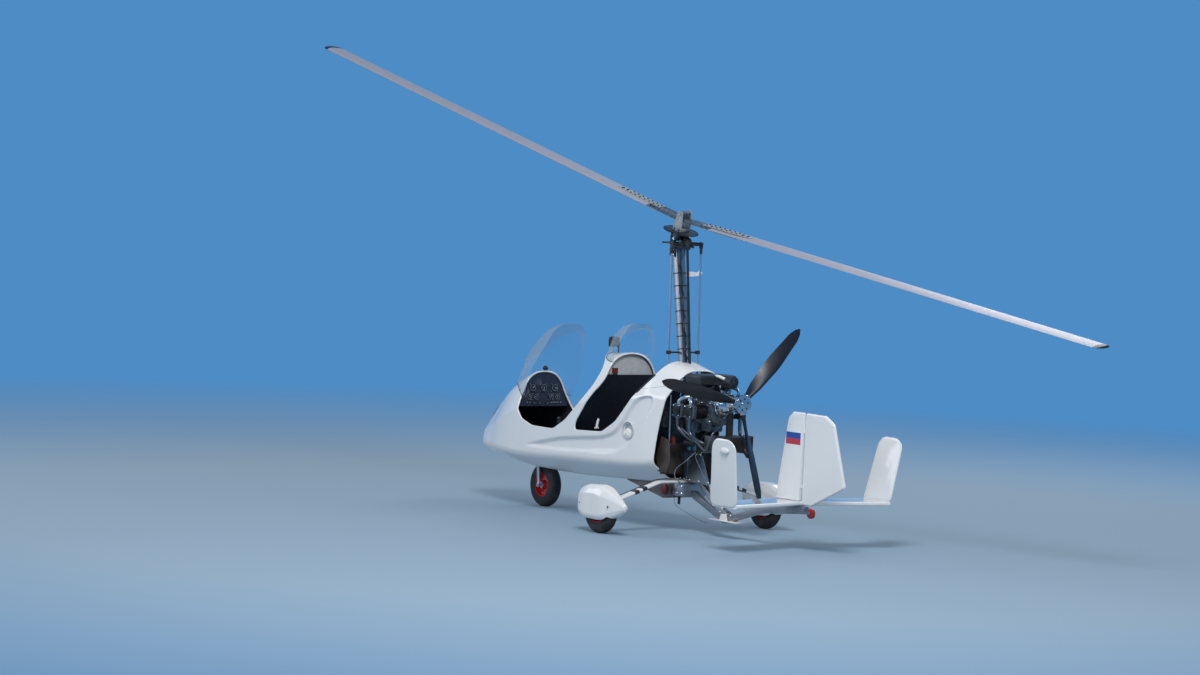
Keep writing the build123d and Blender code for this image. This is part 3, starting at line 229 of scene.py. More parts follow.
# Floor and backdrop: near the aircraft the floor is matt and takes its shadow, far off it is the backdrop
def makeStudio():
    recipe = Recipe("studioFloor")
    away = recipe.add("VectorMath", {"operation": "LENGTH"}, {0: recipe.place}, output=1)
    fade = away.ramp(studio["fadeStart"], studio["fadeEnd"])
    path = recipe.add("LightPath", output=0).socket.node
    rays = Wire(recipe.tree, path.outputs["Is Camera Ray"])
    for name in ("Is Glossy Ray", "Is Transmission Ray"):
        rays = rays.maths("MAXIMUM", rays, Wire(recipe.tree, path.outputs[name]))
    near = recipe.add("BsdfDiffuse", sockets={"Color": studio["floor"]})
    far = recipe.add("Emission", sockets={"Color": studio["backdrop"], "Strength": 1.0})
    surface = recipe.add("MixShader", sockets={0: fade * rays, 1: near, 2: far})
    recipe.add("OutputMaterial", sockets={"Surface": surface})
    half = studio["floorSize"] / 2
    mesh = bpy.data.meshes.new("floor")
    mesh.from_pydata([(-half, -half, 0), (half, -half, 0), (half, half, 0), (-half, half, 0)], [], [(0, 1, 2, 3)])
    mesh.materials.append(recipe.material)
    link(bpy.data.objects.new("floor", mesh))
    world = bpy.data.worlds.new("studio")
    scene.world = world
    world.use_nodes = True
    tree = world.node_tree
    tree.nodes.clear()
    path = tree.nodes.new("ShaderNodeLightPath")
    seen = Wire(tree, path.outputs["Is Camera Ray"])
    for name in ("Is Glossy Ray", "Is Transmission Ray"):
        seen = seen.maths("MAXIMUM", seen, Wire(tree, path.outputs[name]))
    sky = tree.nodes.new("ShaderNodeBackground")
    plug(tree, sky.inputs["Color"], studio["backdrop"])
    light = tree.nodes.new("ShaderNodeBackground")
    plug(tree, light.inputs["Color"], (1.0, 1.0, 1.0))
    plug(tree, light.inputs["Strength"], studio["skyLight"])
    either = tree.nodes.new("ShaderNodeMixShader")
    plug(tree, either.inputs[0], seen)
    tree.links.new(light.outputs[0], either.inputs[1])
    tree.links.new(sky.outputs[0], either.inputs[2])
    output = tree.nodes.new("ShaderNodeOutputWorld")
    tree.links.new(either.outputs[0], output.inputs[0])


# Finishes
def makeGelcoat(name="gelcoat", seam=None, stripes=None):
    look = {"white": (0.80, 0.82, 0.84), "warm": (0.74, 0.77, 0.79), "darkerBelow": (0.52, 0.51, 0.47)}
    recipe = Recipe(name)
    x, _, z = recipe.axes()
    drift = recipe.noise(1.7, 2.0)
    colour = recipe.mix(drift * 0.7, look["white"], look["warm"])
    streaks = recipe.noise(9.0, 4.0, (0.25, 1.0, 1.0)).ramp(0.50, 0.78)
    # the colour turns darker in streaks towards the bottom of the body, below a height of 0.55 m
    colour = recipe.mix(streaks * (0.55 - z).ramp(0.0, 0.45) * 0.35, colour, look["darkerBelow"])
    if seam:
        line = abs(z - seam["height"] - (x - station(seam["start"])) * seam["slope"]) < seam["half"]
        colour = recipe.mix(line * (x > station(seam["start"])) * 0.75, colour, seam["colour"])
    if stripes:
        for low, high, paint in stripes["bands"]:
            band = (z > low) * (z < high) * (x > station(stripes["start"])) * (x < station(stripes["end"]))
            colour = recipe.mix(band, colour, paint)
    roughness = 0.10 + recipe.noise(6.0) * 0.10 + streaks * 0.05
    return recipe.finish(colour, roughness, recipe.bump(recipe.noise(45.0, 2.0), 0.025), Coat_Weight=0.6,
                         Coat_Roughness=0.05)


def makeSpeckled(name, dark, light, roughness, grain, scale, fixed=()):
    recipe = Recipe(name)
    patch = recipe.noise(scale / 12.0, 2.0).ramp(0.35, 0.70)
    colour = recipe.mix(patch, dark, light)
    fine = recipe.noise(scale, 3.0)
    normal = recipe.bump(fine, grain)
    return recipe.finish(colour, roughness + (fine - 0.5) * 0.16, normal, **dict(fixed))


def makeBrushed(name, dark, light, roughness, stretch, scale=30.0, marks=0.30, metallic=1.0):
    recipe = Recipe(name)
    streak = recipe.noise(scale, 4.0, stretch)
    smudge = recipe.noise(5.0, 3.0).ramp(0.40, 0.75)
    colour = recipe.mix(streak, dark, light)
    colour = recipe.mix(smudge * marks, colour, tuple(value * 0.62 for value in dark))
    level = roughness + streak * 0.14 + smudge * 0.10
    return recipe.finish(colour, level, recipe.bump(streak, 0.10, 0.0004), Metallic=metallic)


def makeBladeSkin():
    look = {"pale": (0.44, 0.43, 0.475), "deep": (0.33, 0.32, 0.365), "edge": (0.25, 0.245, 0.29)}
    recipe = Recipe("bladeSkin")
    streak = recipe.noise(14.0, 4.0, (1.0, 1.0, 6.0))
    broad = recipe.noise(1.1, 2.0)
    colour = recipe.mix(streak * 0.6 + broad * 0.4, look["deep"], look["pale"])
    worn = recipe.noise(60.0, 5.0).ramp(0.58, 0.74)
    colour = recipe.mix(worn * 0.35, colour, look["edge"])
    return recipe.finish(colour, 0.34 + streak * 0.16, recipe.bump(streak, 0.04, 0.0005), Metallic=0.25)


def makeGlazing():
    look = {"tint": (0.95, 0.97, 0.98), "sheet": (0.62, 0.68, 0.72), "haze": 0.02}
    recipe = Recipe("glazing")
    clear = recipe.add("BsdfTransparent", sockets={"Color": look["tint"]})
    facing = recipe.add("LayerWeight", sockets={"Blend": 0.22}, output=0)
    wipe = recipe.noise(7.0, 3.0, (1.0, 1.0, 0.4)).ramp(0.5, 0.9)
    gloss = recipe.add("BsdfPrincipled", sockets={
        "Base Color": look["sheet"], "Roughness": 0.03 + wipe * 0.12, "Metallic": 0.0, "IOR": 1.49})
    cover = look["haze"] + facing * 0.24 + wipe * 0.015
    surface = recipe.add("MixShader", sockets={0: cover, 1: clear, 2: gloss})
    recipe.add("OutputMaterial", sockets={"Surface": surface})
    return recipe.material


def makeLeather():
    look = {"black": (0.020, 0.020, 0.024), "worn": (0.055, 0.052, 0.055)}
    recipe = Recipe("seatLeather")
    cells = recipe.add("TexVoronoi", {"feature": "DISTANCE_TO_EDGE"}, {"Vector": recipe.place, "Scale": 380.0})
    creases = recipe.noise(26.0, 5.0)
    colour = recipe.mix(creases.ramp(0.45, 0.80), look["black"], look["worn"])
    under = recipe.bump(creases, 0.12, 0.002)
    return recipe.finish(colour, 0.46 + creases * 0.14, recipe.bump(cells, 0.25, 0.0006, under))


def makeRubber():
    look = {"black": (0.016, 0.016, 0.017), "dust": (0.10, 0.095, 0.085)}
    recipe = Recipe("tyreRubber")
    dust = recipe.noise(11.0, 5.0).ramp(0.48, 0.80)
    colour = recipe.mix(dust * 0.55, look["black"], look["dust"])
    return recipe.finish(colour, 0.70 + dust * 0.18, recipe.bump(recipe.noise(260.0, 4.0), 0.25, 0.0008))


def makeLampGlass():
    recipe = Recipe("lampGlass")
    ribs = recipe.add("TexWave", {"wave_type": "BANDS", "bands_direction": "Y"},
                      {"Vector": recipe.place, "Scale": 60.0})
    colour = recipe.mix(ribs * 0.5, (0.012, 0.014, 0.018), (0.07, 0.08, 0.09))
    return recipe.finish(colour, 0.05, recipe.bump(ribs, 0.2, 0.001), Coat_Weight=1.0, Coat_Roughness=0.02)


seamLine = {"start": 2.640, "height": 1.172, "slope": 0.164, "half": 0.0016, "colour": (0.16, 0.17, 0.18)}
finStripes = {
    "start": 4.218, "end": 4.402,
    "bands": [(0.955, 1.003, (0.80, 0.82, 0.84)), (0.906, 0.955, (0.02, 0.07, 0.36)),
              (0.857, 0.906, (0.50, 0.03, 0.035))],
}
# dark, light, roughness, strength and scale of the grain, and what else its shader is given
speckled = {
    "greyPanel": ((0.40, 0.42, 0.44), (0.47, 0.49, 0.51), 0.42, 0.10, 420.0),
    "navyLining": ((0.010, 0.012, 0.020), (0.022, 0.026, 0.040), 0.72, 0.30, 700.0),
    "blackPlastic": ((0.014, 0.014, 0.016), (0.030, 0.030, 0.032), 0.42, 0.12, 500.0),
    "blackPaint": ((0.020, 0.020, 0.022), (0.045, 0.043, 0.042), 0.36, 0.06, 240.0),
    "sealRubber": ((0.10, 0.105, 0.11), (0.17, 0.175, 0.18), 0.62, 0.10, 300.0),
    "glossBlack": ((0.008, 0.008, 0.010), (0.016, 0.016, 0.019), 0.36, 0.03, 90.0),
    "redPaint": ((0.26, 0.010, 0.011), (0.36, 0.018, 0.016), 0.24, 0.03, 160.0),
    "darkRed": ((0.12, 0.008, 0.008), (0.20, 0.014, 0.012), 0.40, 0.05, 200.0),
    # the fuel cap's dish: grey-blue, darker than the white skin around it, as painted shade in its recess
    "recessShadePaint": ((0.50, 0.54, 0.58), (0.58, 0.61, 0.64), 0.30, 0.03, 120.0),
    "panelPaint": ((0.016, 0.022, 0.045), (0.028, 0.036, 0.066), 0.50, 0.15, 420.0),
    "dialFace": ((0.008, 0.009, 0.012), (0.014, 0.016, 0.020), 0.20, 0.02, 90.0,
                 {"Coat_Weight": 0.7, "Coat_Roughness": 0.03}),
    "whitePaint": ((0.72, 0.74, 0.76), (0.80, 0.82, 0.83), 0.28, 0.03, 120.0),
    "towerGrey": ((0.34, 0.355, 0.35), (0.44, 0.455, 0.45), 0.36, 0.05, 200.0, {"Metallic": 0.35}),
    "brownShield": ((0.040, 0.028, 0.024), (0.085, 0.065, 0.055), 0.55, 0.20, 90.0),
    "trayMetal": ((0.125, 0.105, 0.097), (0.19, 0.165, 0.155), 0.48, 0.10, 90.0, {"Metallic": 0.2}),
    "rimRed": ((0.42, 0.013, 0.009), (0.54, 0.022, 0.014), 0.26, 0.03, 160.0),
    "castAlloy": ((0.12, 0.125, 0.13), (0.26, 0.27, 0.28), 0.48, 0.35, 380.0, {"Metallic": 0.85}),
    "darkAlloy": ((0.035, 0.037, 0.040), (0.08, 0.083, 0.086), 0.45, 0.30, 320.0, {"Metallic": 0.8}),
    "beaconGlass": ((0.80, 0.83, 0.85), (0.86, 0.88, 0.90), 0.12, 0.02, 60.0,
                    {"Coat_Weight": 0.8, "Coat_Roughness": 0.04}),
}
# dark, light, roughness, stretch of the streaks, then their scale and the strength of the smudges
brushed = {
    "mastSteel": ((0.27, 0.26, 0.26), (0.52, 0.50, 0.49), 0.30, (3.0, 3.0, 0.15)),
    "keelSteel": ((0.33, 0.31, 0.31), (0.50, 0.48, 0.48), 0.36, (0.2, 3.0, 1.5)),
    "polished": ((0.52, 0.53, 0.54), (0.76, 0.77, 0.78), 0.08, (1.0, 1.0, 1.0), 12.0, 0.35),
    "satinAlloy": ((0.50, 0.51, 0.52), (0.68, 0.69, 0.70), 0.28, (1.0, 1.0, 3.0), 24.0, 0.22),
    "heatSteel": ((0.12, 0.11, 0.11), (0.30, 0.28, 0.27), 0.26, (1.0, 1.0, 1.0), 9.0, 0.5),
}
finishes = {
    "gelcoat": makeGelcoat(),
    "bodyGelcoat": makeGelcoat("bodyGelcoat", seam=seamLine),
    "finGelcoat": makeGelcoat("finGelcoat", stripes=finStripes),
    "bladeSkin": makeBladeSkin(),
    "glazing": makeGlazing(),
    "seatLeather": makeLeather(),
    "tyreRubber": makeRubber(),
    "lampGlass": makeLampGlass(),
    **{name: makeSpeckled(name, *look) for name, look in speckled.items()},
    **{name: makeBrushed(name, *look) for name, look in brushed.items()},
}
print("finishes made:", len(finishes))


# Mesh helpers
def toPiece(shape, name):
    mesh = bpy.data.meshes.new(name)
    shape.to_mesh(mesh)
    shape.free()
    return link(bpy.data.objects.new(name, mesh))


def bridge(shape, rows):
    # faces between closed rows of points
    for first, second in zip(rows, rows[1:]):
        for i in range(len(first)):
            j = (i + 1) % len(first)
            shape.faces.new((first[i], first[j], second[j], second[i]))


def settle(piece, body, finish, angle=38.0, replaces=None):
    mesh = piece.data
    if not mesh.materials:
        mesh.materials.append(finishes[finish])
    mesh.shade_smooth()
    mesh.set_sharp_from_angle(angle=math.radians(angle))
    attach(piece, body)
    if replaces:
        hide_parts(replaces)
    return piece


def bake(piece):
    # turns the live modifiers into plain mesh
    bpy.context.view_layer.update()
    graph = bpy.context.evaluated_depsgraph_get()
    mesh = bpy.data.meshes.new_from_object(piece.evaluated_get(graph), depsgraph=graph)
    old = piece.data
    piece.modifiers.clear()
    piece.data = mesh
    if old.users == 0:
        bpy.data.meshes.remove(old)
    return piece


def modify(piece, kind, **settings):
    modifier = piece.modifiers.new(kind.lower(), kind)
    for key, value in settings.items():
        setattr(modifier, key, value)
    return bake(piece)


class Kit:
    # gathers bevelled blocks, rods, turned parts and pipes into one mesh
    def __init__(self, name):
        self.name = name
        self.shape = bmesh.new()

    def keep(self, part, bevel):
        if bevel:
            sharp = math.radians(50.0)
            edges = [e for e in part.edges if e.is_manifold and e.calc_face_angle(0) > sharp]
            bmesh.ops.bevel(part, geom=edges, offset=bevel, segments=2, profile=0.6, affect="EDGES",
                            clamp_overlap=True)
        bmesh.ops.recalc_face_normals(part, faces=part.faces)
        mesh = bpy.data.meshes.new("part")
        part.to_mesh(mesh)
        part.free()
        self.shape.from_mesh(mesh)
        bpy.data.meshes.remove(mesh)

    def block(self, middle, size, bevel=0.002, turn=(0, 0, 0)):
        part = bmesh.new()
        bmesh.ops.create_cube(part, size=1.0)
        spin = Matrix.Rotation(turn[2], 4, "Z") @ Matrix.Rotation(turn[1], 4, "Y") @ Matrix.Rotation(turn[0], 4, "X")
        part.transform(Matrix.Translation(middle) @ spin @ Matrix.Diagonal((*size, 1.0)))
        self.keep(part, bevel)

    def plate(self, outline, thickness, place, bevel=0.001):
        # outline in the place's own X and Y, centred on its plane
        part = bmesh.new()
        face = part.faces.new([part.verts.new((x, y, -thickness / 2)) for x, y in outline])
        raised = bmesh.ops.extrude_face_region(part, geom=[face])["geom"]
        bmesh.ops.translate(part, vec=(0, 0, thickness), verts=[v for v in raised if isinstance(v, bmesh.types.BMVert)])
        part.transform(place)
        self.keep(part, bevel)

    def rod(self, start, end, radius, sides=14, bevel=0.0, tip=None):
        start, end = Vector(start), Vector(end)
        run = end - start
        part = bmesh.new()
        bmesh.ops.create_cone(part, cap_ends=True, segments=sides, radius1=radius,
                              radius2=radius if tip is None else tip, depth=run.length)
        turn = run.to_track_quat("Z", "Y").to_matrix().to_4x4()
        part.transform(Matrix.Translation((start + end) / 2) @ turn)
        self.keep(part, bevel)

    def turned(self, profile, start, direction, sides=28, bevel=0.0):
        # profile: (distance along the direction, radius), either closed on the axis or ending where it starts
        start, direction = Vector(start), Vector(direction).normalized()
        place = Matrix.Translation(start) @ direction.to_track_quat("Z", "Y").to_matrix().to_4x4()
        part = bmesh.new()
        rings = []
        hollow = profile[0] == profile[-1]
        for along, radius in profile[:-1] if hollow else profile:
            count = 1 if radius < 1e-6 else sides
            rings.append([part.verts.new(place @ Vector((
                radius * math.cos(math.tau * i / sides), radius * math.sin(math.tau * i / sides), along)))
                for i in range(count)])
        for first, second in zip(rings, rings[1:] + rings[:1] if hollow else rings[1:]):
            for i in range(sides):
                j = (i + 1) % sides
                corners = [first[i % len(first)], first[j % len(first)],
                           second[j % len(second)], second[i % len(second)]]
                unique = list(dict.fromkeys(corners))
                if len(unique) > 2:
                    part.faces.new(unique)
        for ring in () if hollow else (rings[0], rings[-1]):
            if len(ring) > 1:
                part.faces.new(ring)
        self.keep(part, bevel)

    def drum(self, profile, start, direction, sides=28):
        # a turned part whose profile is closed on the axis at both ends
        closed = [(profile[0][0], 0.0), *profile]
        if profile[-1][1]:
            closed.append((profile[-1][0], 0.0))
        self.turned(closed, start, direction, sides)

    def collar(self, inner, outer, thickness, start, direction, sides=28):
        self.turned([(0.0, inner), (0.0, outer), (thickness, outer), (thickness, inner), (0.0, inner)], start,
                    direction, sides)

    def pipe(self, points, radius, sides=10, steps=6):
        # smooth round pipe through given points
        path = smoothPath([Vector(p) for p in points], steps)
        part = bmesh.new()
        rings = []
        normal = None
        for index, spot in enumerate(path):
            ahead = path[min(index + 1, len(path) - 1)] - path[max(index - 1, 0)]
            ahead.normalize()
            if normal is None:
                normal = ahead.orthogonal().normalized()
            normal = (normal - ahead * normal.dot(ahead)).normalized()
            side = ahead.cross(normal)
            rings.append([part.verts.new(spot + (normal * math.cos(math.tau * i / sides)
                                                 + side * math.sin(math.tau * i / sides)) * radius)
                          for i in range(sides)])
        bridge(part, rings)
        part.faces.new(list(reversed(rings[0])))
        part.faces.new(rings[-1])
        self.keep(part, 0.0)

    def ball(self, middle, radius, squash=(1.0, 1.0, 1.0), detail=3):
        part = bmesh.new()
        bmesh.ops.create_icosphere(part, subdivisions=detail, radius=radius)
        part.transform(Matrix.Translation(middle) @ Matrix.Diagonal((*squash, 1.0)))
        self.keep(part, 0.0)

    def piece(self):
        return toPiece(self.shape, self.name)

    def done(self, body, finish, slot, angle=38.0, replaces=None):
        return settle(self.piece(), body, finish, angle, replaces)


def smoothPath(points, steps):
    # passes through every point, with its bends rounded
    if len(points) < 3:
        return points
    path = []
    ends = [points[0] * 2 - points[1]] + points + [points[-1] * 2 - points[-2]]
    for a, b, c, d in zip(ends, ends[1:], ends[2:], ends[3:]):
        for index in range(steps):
            t = index / steps
            path.append(0.5 * (2 * b + (c - a) * t + (2 * a - 5 * b + 4 * c - d) * t * t
                               + (3 * b - a - 3 * c + d) * t ** 3))
    path.append(points[-1])
    return path


# A rigid piece keeps its CAD shape, with softened edges and its real finish
def dress(name, finish, bevel=0.0012, angle=34.0):
    node = nodes[name]
    piece = link(bpy.data.objects.new(name + "Shape", node.data.copy()))
    shape = bmesh.new()
    shape.from_mesh(piece.data)
    bmesh.ops.remove_doubles(shape, verts=shape.verts, dist=2e-5)
    bmesh.ops.dissolve_limit(shape, angle_limit=math.radians(0.4), verts=shape.verts, edges=shape.edges)
    shape.to_mesh(piece.data)
    shape.free()
    piece.data.materials.clear()
    if bevel:
        modify(piece, "BEVEL", width=bevel, segments=2, limit_method="ANGLE", angle_limit=math.radians(angle),
               harden_normals=False, use_clamp_overlap=True)
    return settle(piece, node["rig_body"], finish, replaces=name)


# Body skin: rings along the body, joined by smooth curves, with the openings cut out of it
bodyForm = {
    # millimetres: station, low corner radius, top corner radius, then (half width, height) from the belly up
    "rings": [
        (0, 18, 18, (30, 510), (55, 545), (48, 585), (22, 618)),
        (40, 45, 45, (64, 470), (98, 515), (84, 592), (30, 672)),
        (160, 60, 80, (100, 436), (164, 495), (134, 625), (40, 800)),
        (300, 70, 115, (122, 420), (212, 484), (182, 670), (64, 915)),
        (450, 75, 150, (140, 408), (256, 478), (232, 735), (96, 1020)),
        (700, 80, 190, (155, 380), (303, 472), (288, 822), (142, 1146)),
        (950, 85, 215, (165, 362), (332, 470), (318, 875), (160, 1236)),
        (1280, 88, 235, (174, 356), (355, 485), (334, 920), (174, 1328)),
        (1600, 90, 250, (180, 356), (370, 500), (345, 965), (185, 1395)),
        (1950, 90, 250, (182, 366), (380, 510), (350, 1015), (190, 1430)),
        (2300, 90, 250, (180, 380), (382, 522), (350, 1055), (190, 1440)),
        (2750, 90, 230, (170, 404), (370, 548), (336, 1120), (180, 1424)),
        (3110, 80, 180, (130, 480), (316, 612), (290, 1120), (150, 1340)),
    ],
    "noseRound": 46.0,  # the nose closes to a point over this length
    "noseHeight": 578.0,
    "step": 14.0,  # between cross sections
    "cornerSteps": 9,
    "sideSteps": (3, 6, 34, 12, 4),  # along the straights, from the keel to the crown
    "wall": 0.014,
}
# Side views in millimetres: station and height
openings = {
    "front": [
        (800, 1700), (800, 1000), (826, 860), (915, 776), (1100, 727), (1440, 727), (1620, 823),
        (1810, 993), (1930, 1148), (1988, 1300), (1950, 1366), (1850, 1412), (1790, 1500), (1780, 1700),
    ],
    "rear": [
        (2062, 1700), (2062, 1236), (2020, 1160), (1946, 1085), (1883, 982), (1760, 815), (1768, 747),
        (2170, 766), (2348, 869), (2466, 997), (2608, 1160), (2740, 1310), (2790, 1400), (2800, 1700),
    ],
    "cornerReach": 34.0,
}
engineBay = {"station": 2894.0, "topStation": 3050.0, "bend": 900.0, "top": 1352.0, "reach": 330.0,
             "below": 1200.0, "pull": 0.28}  # how far below the bend its edge is upright
channel = {
    "outline": [
        (1000, 556), (1593, 571), (2183, 606), (2395, 628), (2571, 712), (2687, 848), (2798, 1042),
        (2806, 1125), (2667, 1107), (2574, 1048), (2459, 895), (2340, 775), (2173, 726), (1584, 668),
    ],
    "cornerReach": 60.0,
    "depth": 0.022,
    "softFront": 30.0,  # width of its edge in front and behind
    "softRear": 17.0,
    "startFade": (960.0, 1240.0),
    "edgeFade": (900.0, 1800.0),
}
wheelWell = {"station": 865.0, "radius": 158.0, "below": 440.0}
fuelHole = {"station": 2521.0, "height": 812.0, "radius": 73.0}


def roundOutline(points, reach, steps=6):
    # each corner becomes a curve that starts and ends this far from it
    rounded = []
    count = len(points)
    for index in range(count):
        before, corner, after = (np.array(points[(index + k - 1) % count], float) for k in range(3))
        into, out = before - corner, after - corner
        near = min(reach, 0.48 * np.linalg.norm(into), 0.48 * np.linalg.norm(out))
        first = corner + into / np.linalg.norm(into) * near
        last = corner + out / np.linalg.norm(out) * near
        for k in range(steps + 1):
            t = k / steps
            rounded.append((1 - t) ** 2 * first + 2 * t * (1 - t) * corner + t * t * last)
    return np.array(rounded)


def outlineDistance(spots, outline):
    # distance of each (station, height) to the outline, negative inside it
    nearest = np.full(len(spots), 1e9)
    inside = np.zeros(len(spots), bool)
    for a, b in zip(outline, np.roll(outline, -1, 0)):
        run = b - a
        share = np.clip(((spots - a) @ run) / max(run @ run, 1e-9), 0, 1)
        nearest = np.minimum(nearest, np.linalg.norm(spots - a - share[:, None] * run, axis=1))
        crosses = (a[1] > spots[:, 1]) != (b[1] > spots[:, 1])
        rise = b[1] - a[1] if abs(b[1] - a[1]) > 1e-9 else 1e-9
        inside ^= crosses & (spots[:, 0] < a[0] + (spots[:, 1] - a[1]) * run[0] / rise)
    return np.where(inside, -nearest, nearest)


def halfSection(lowRadius, topRadius, corners, cornerSteps, sideSteps):
    # from the keel line, round the corners, up to the crown line
    track = [(0.0, corners[0][1]), *corners, (0.0, corners[-1][1])]
    radii = [lowRadius] * (len(corners) - 1) + [topRadius]
    points = []
    last = np.array(track[0], float)
    for index, radius in enumerate(radii):
        before, corner, after = (np.array(track[index + k], float) for k in range(3))
        into, out = before - corner, after - corner
        lengths = np.linalg.norm(into), np.linalg.norm(out)
        turn = math.pi - math.acos(np.clip(into @ out / lengths[0] / lengths[1], -1, 1))
        room = [length * (1.0 if edge else 0.5) for length, edge in
                zip(lengths, (index == 0, index == len(radii) - 1))]
        near = min(radius * math.tan(turn / 2), 0.96 * room[0], 0.96 * room[1])
        first = corner + into / lengths[0] * near
        end = corner + out / lengths[1] * near
        for k in range(sideSteps[index]):
            points.append(last + (first - last) * k / sideSteps[index])
        for k in range(cornerSteps):
            t = k / cornerSteps
            points.append((1 - t) ** 2 * first + 2 * t * (1 - t) * corner + t * t * end)
        last = end
    crown = np.array(track[-1], float)
    for k in range(sideSteps[-1] + 1):
        points.append(last + (crown - last) * k / sideSteps[-1])
    return np.array(points)


def smoothRings(rings, stops, cornerSteps, sideSteps):
    # the half sections at any stations, on smooth curves through the given rings
    places = np.array([ring[0] for ring in rings], float)
    shapes = np.array([halfSection(low, top, corners, cornerSteps, sideSteps)
                       for _, low, top, *corners in rings])
    slopes = np.gradient(shapes, places, axis=0)
    result = []
    for stop in stops:
        index = int(np.clip(np.searchsorted(places, stop) - 1, 0, len(places) - 2))
        gap = places[index + 1] - places[index]
        t = (stop - places[index]) / gap
        blend = (2 * t ** 3 - 3 * t ** 2 + 1, (t ** 3 - 2 * t ** 2 + t) * gap, 3 * t ** 2 - 2 * t ** 3,
                 (t ** 3 - t ** 2) * gap)
        result.append(blend[0] * shapes[index] + blend[1] * slopes[index]
                      + blend[2] * shapes[index + 1] + blend[3] * slopes[index + 1])
    return result


def gridShape(stops, sections, pole=None):
    # a surface from half sections, mirrored to port; millimetres in, metres out
    shape = bmesh.new()
    rows = []
    for stop, section in zip(stops, sections):
        mirrored = [(-y, z) for y, z in section[-2:0:-1]]
        ring = [(y, z) for y, z in section] + mirrored
        rows.append([shape.verts.new((station(stop / 1000), y / 1000, z / 1000)) for y, z in ring])
    for first, second in zip(rows, rows[1:]):
        for i in range(len(first)):
            j = (i + 1) % len(first)
            shape.faces.new((first[i], second[i], second[j], first[j]))
    if pole:
        tip = shape.verts.new((station(pole[0] / 1000), 0.0, pole[1] / 1000))
        for i in range(len(rows[0])):
            shape.faces.new((tip, rows[0][i], rows[0][(i + 1) % len(rows[0])]))
    bmesh.ops.recalc_face_normals(shape, faces=shape.faces)
    return shape


def evenStops(first, last, step):
    count = int((last - first) / step)
    return [first + (last - first) * k / count for k in range(count + 1)]


def bodyGrid():
    nose = bodyForm["noseRound"]
    last = bodyForm["rings"][-1][0]
    rounded = [nose * (1 - math.cos(math.radians(angle))) for angle in (9, 18, 28, 38, 48, 58, 68, 78, 90)]
    count = int((last - nose) / bodyForm["step"])
    stops = rounded + [nose + (last - nose) * (k + 1) / count for k in range(count)]
    sections = smoothRings(bodyForm["rings"], stops, bodyForm["cornerSteps"], bodyForm["sideSteps"])
    middle = np.array((0.0, bodyForm["noseHeight"]))
    for index, stop in enumerate(stops):
        if stop < nose:
            swell = math.sqrt(1 - (1 - stop / nose) ** 2)
            sections[index] = middle + (sections[index] - middle) * swell
    return gridShape(stops, sections, (0.0, bodyForm["noseHeight"]))


def sideView(spots):
    return np.column_stack(((spots[:, 0] + originStation) * 1000, spots[:, 2] * 1000))


def pressChannel(shape):
    # the long groove low on both sides, soft in front and crisp behind
    shape.normal_update()
    spots = np.array([v.co for v in shape.verts])
    flat = sideView(spots)
    outline = roundOutline(channel["outline"], channel["cornerReach"])
    deep = -outlineDistance(flat, outline)
    crisp = np.clip((flat[:, 0] - channel["edgeFade"][0]) / np.diff(channel["edgeFade"])[0], 0, 1)
    soft = channel["softFront"] + (channel["softRear"] - channel["softFront"]) * crisp
    share = np.clip((deep + soft / 2) / soft, 0, 1)
    share = share * share * (3 - 2 * share)
    start = np.clip((flat[:, 0] - channel["startFade"][0]) / np.diff(channel["startFade"])[0], 0, 1)
    depth = channel["depth"] * share * start
    for vert, push in zip(shape.verts, depth):
        if push > 1e-6:
            vert.co -= vert.normal * float(push)


def trim(shape, field, merge=0.0012):
    # cuts away what lies where the field is negative, along its zero line
    values = field(np.array([v.co for v in shape.verts]))
    level = dict(zip(shape.verts, (float(value) for value in values)))
    for edge in list(shape.edges):
        a, b = edge.verts
        if level[a] * level[b] < 0:
            new = bmesh.utils.edge_split(edge, a, level[a] / (level[a] - level[b]))[1]
            level[new] = 0.0
    for face in list(shape.faces):
        on = [v for v in face.verts if level[v] == 0.0]
        signs = [level[v] for v in face.verts]
        if len(on) == 2 and min(signs) < 0 < max(signs):
            bmesh.utils.face_split(face, on[0], on[1])
    gone = [face for face in shape.faces if sum(level[v] for v in face.verts) < 0]
    bmesh.ops.delete(shape, geom=gone, context="FACES")
    rim = list(dict.fromkeys(v for e in shape.edges if e.is_boundary for v in e.verts))
    bmesh.ops.remove_doubles(shape, verts=rim, dist=merge)


def rimLoops(shape):
    # the open edges as ordered rows of points, each with its surface normal
    shape.normal_update()
    left = dict.fromkeys(e for e in shape.edges if e.is_boundary)
    loops = []
    while left:
        edge = left.popitem()[0]
        first, current = edge.verts
        loop = [first, current]
        while True:
            nexts = [e for e in current.link_edges if e in left]
            if not nexts:
                break
            del left[nexts[0]]
            current = nexts[0].other_vert(current)
            loop.append(current)
        if len(loop) > 12:
            loops.append([(v.co.copy(), v.normal.copy()) for v in loop])
    return loops


def bead(kit, loop, radius, sink):
    # a rounded edge along an open edge of the skin
    points = [spot - normal * sink for spot, normal in loop]
    closed = (points[0] - points[-1]).length < 0.03
    for _ in range(3):
        points = [(points[i - 1] + 2 * points[i] + points[(i + 1) % len(points)]) / 4
                  if closed or 0 < i < len(points) - 1 else points[i] for i in range(len(points))]
    spaced = [points[0]]
    for point in points[1:]:
        if (point - spaced[-1]).length > 0.011:
            spaced.append(point)
    if closed:
        spaced.append(spaced[0])
    kit.pipe(spaced, radius, 8, 2)


def skinField(outline):
    shape = roundOutline(outline, openings["cornerReach"])
    return lambda spots: outlineDistance(sideView(spots), shape)


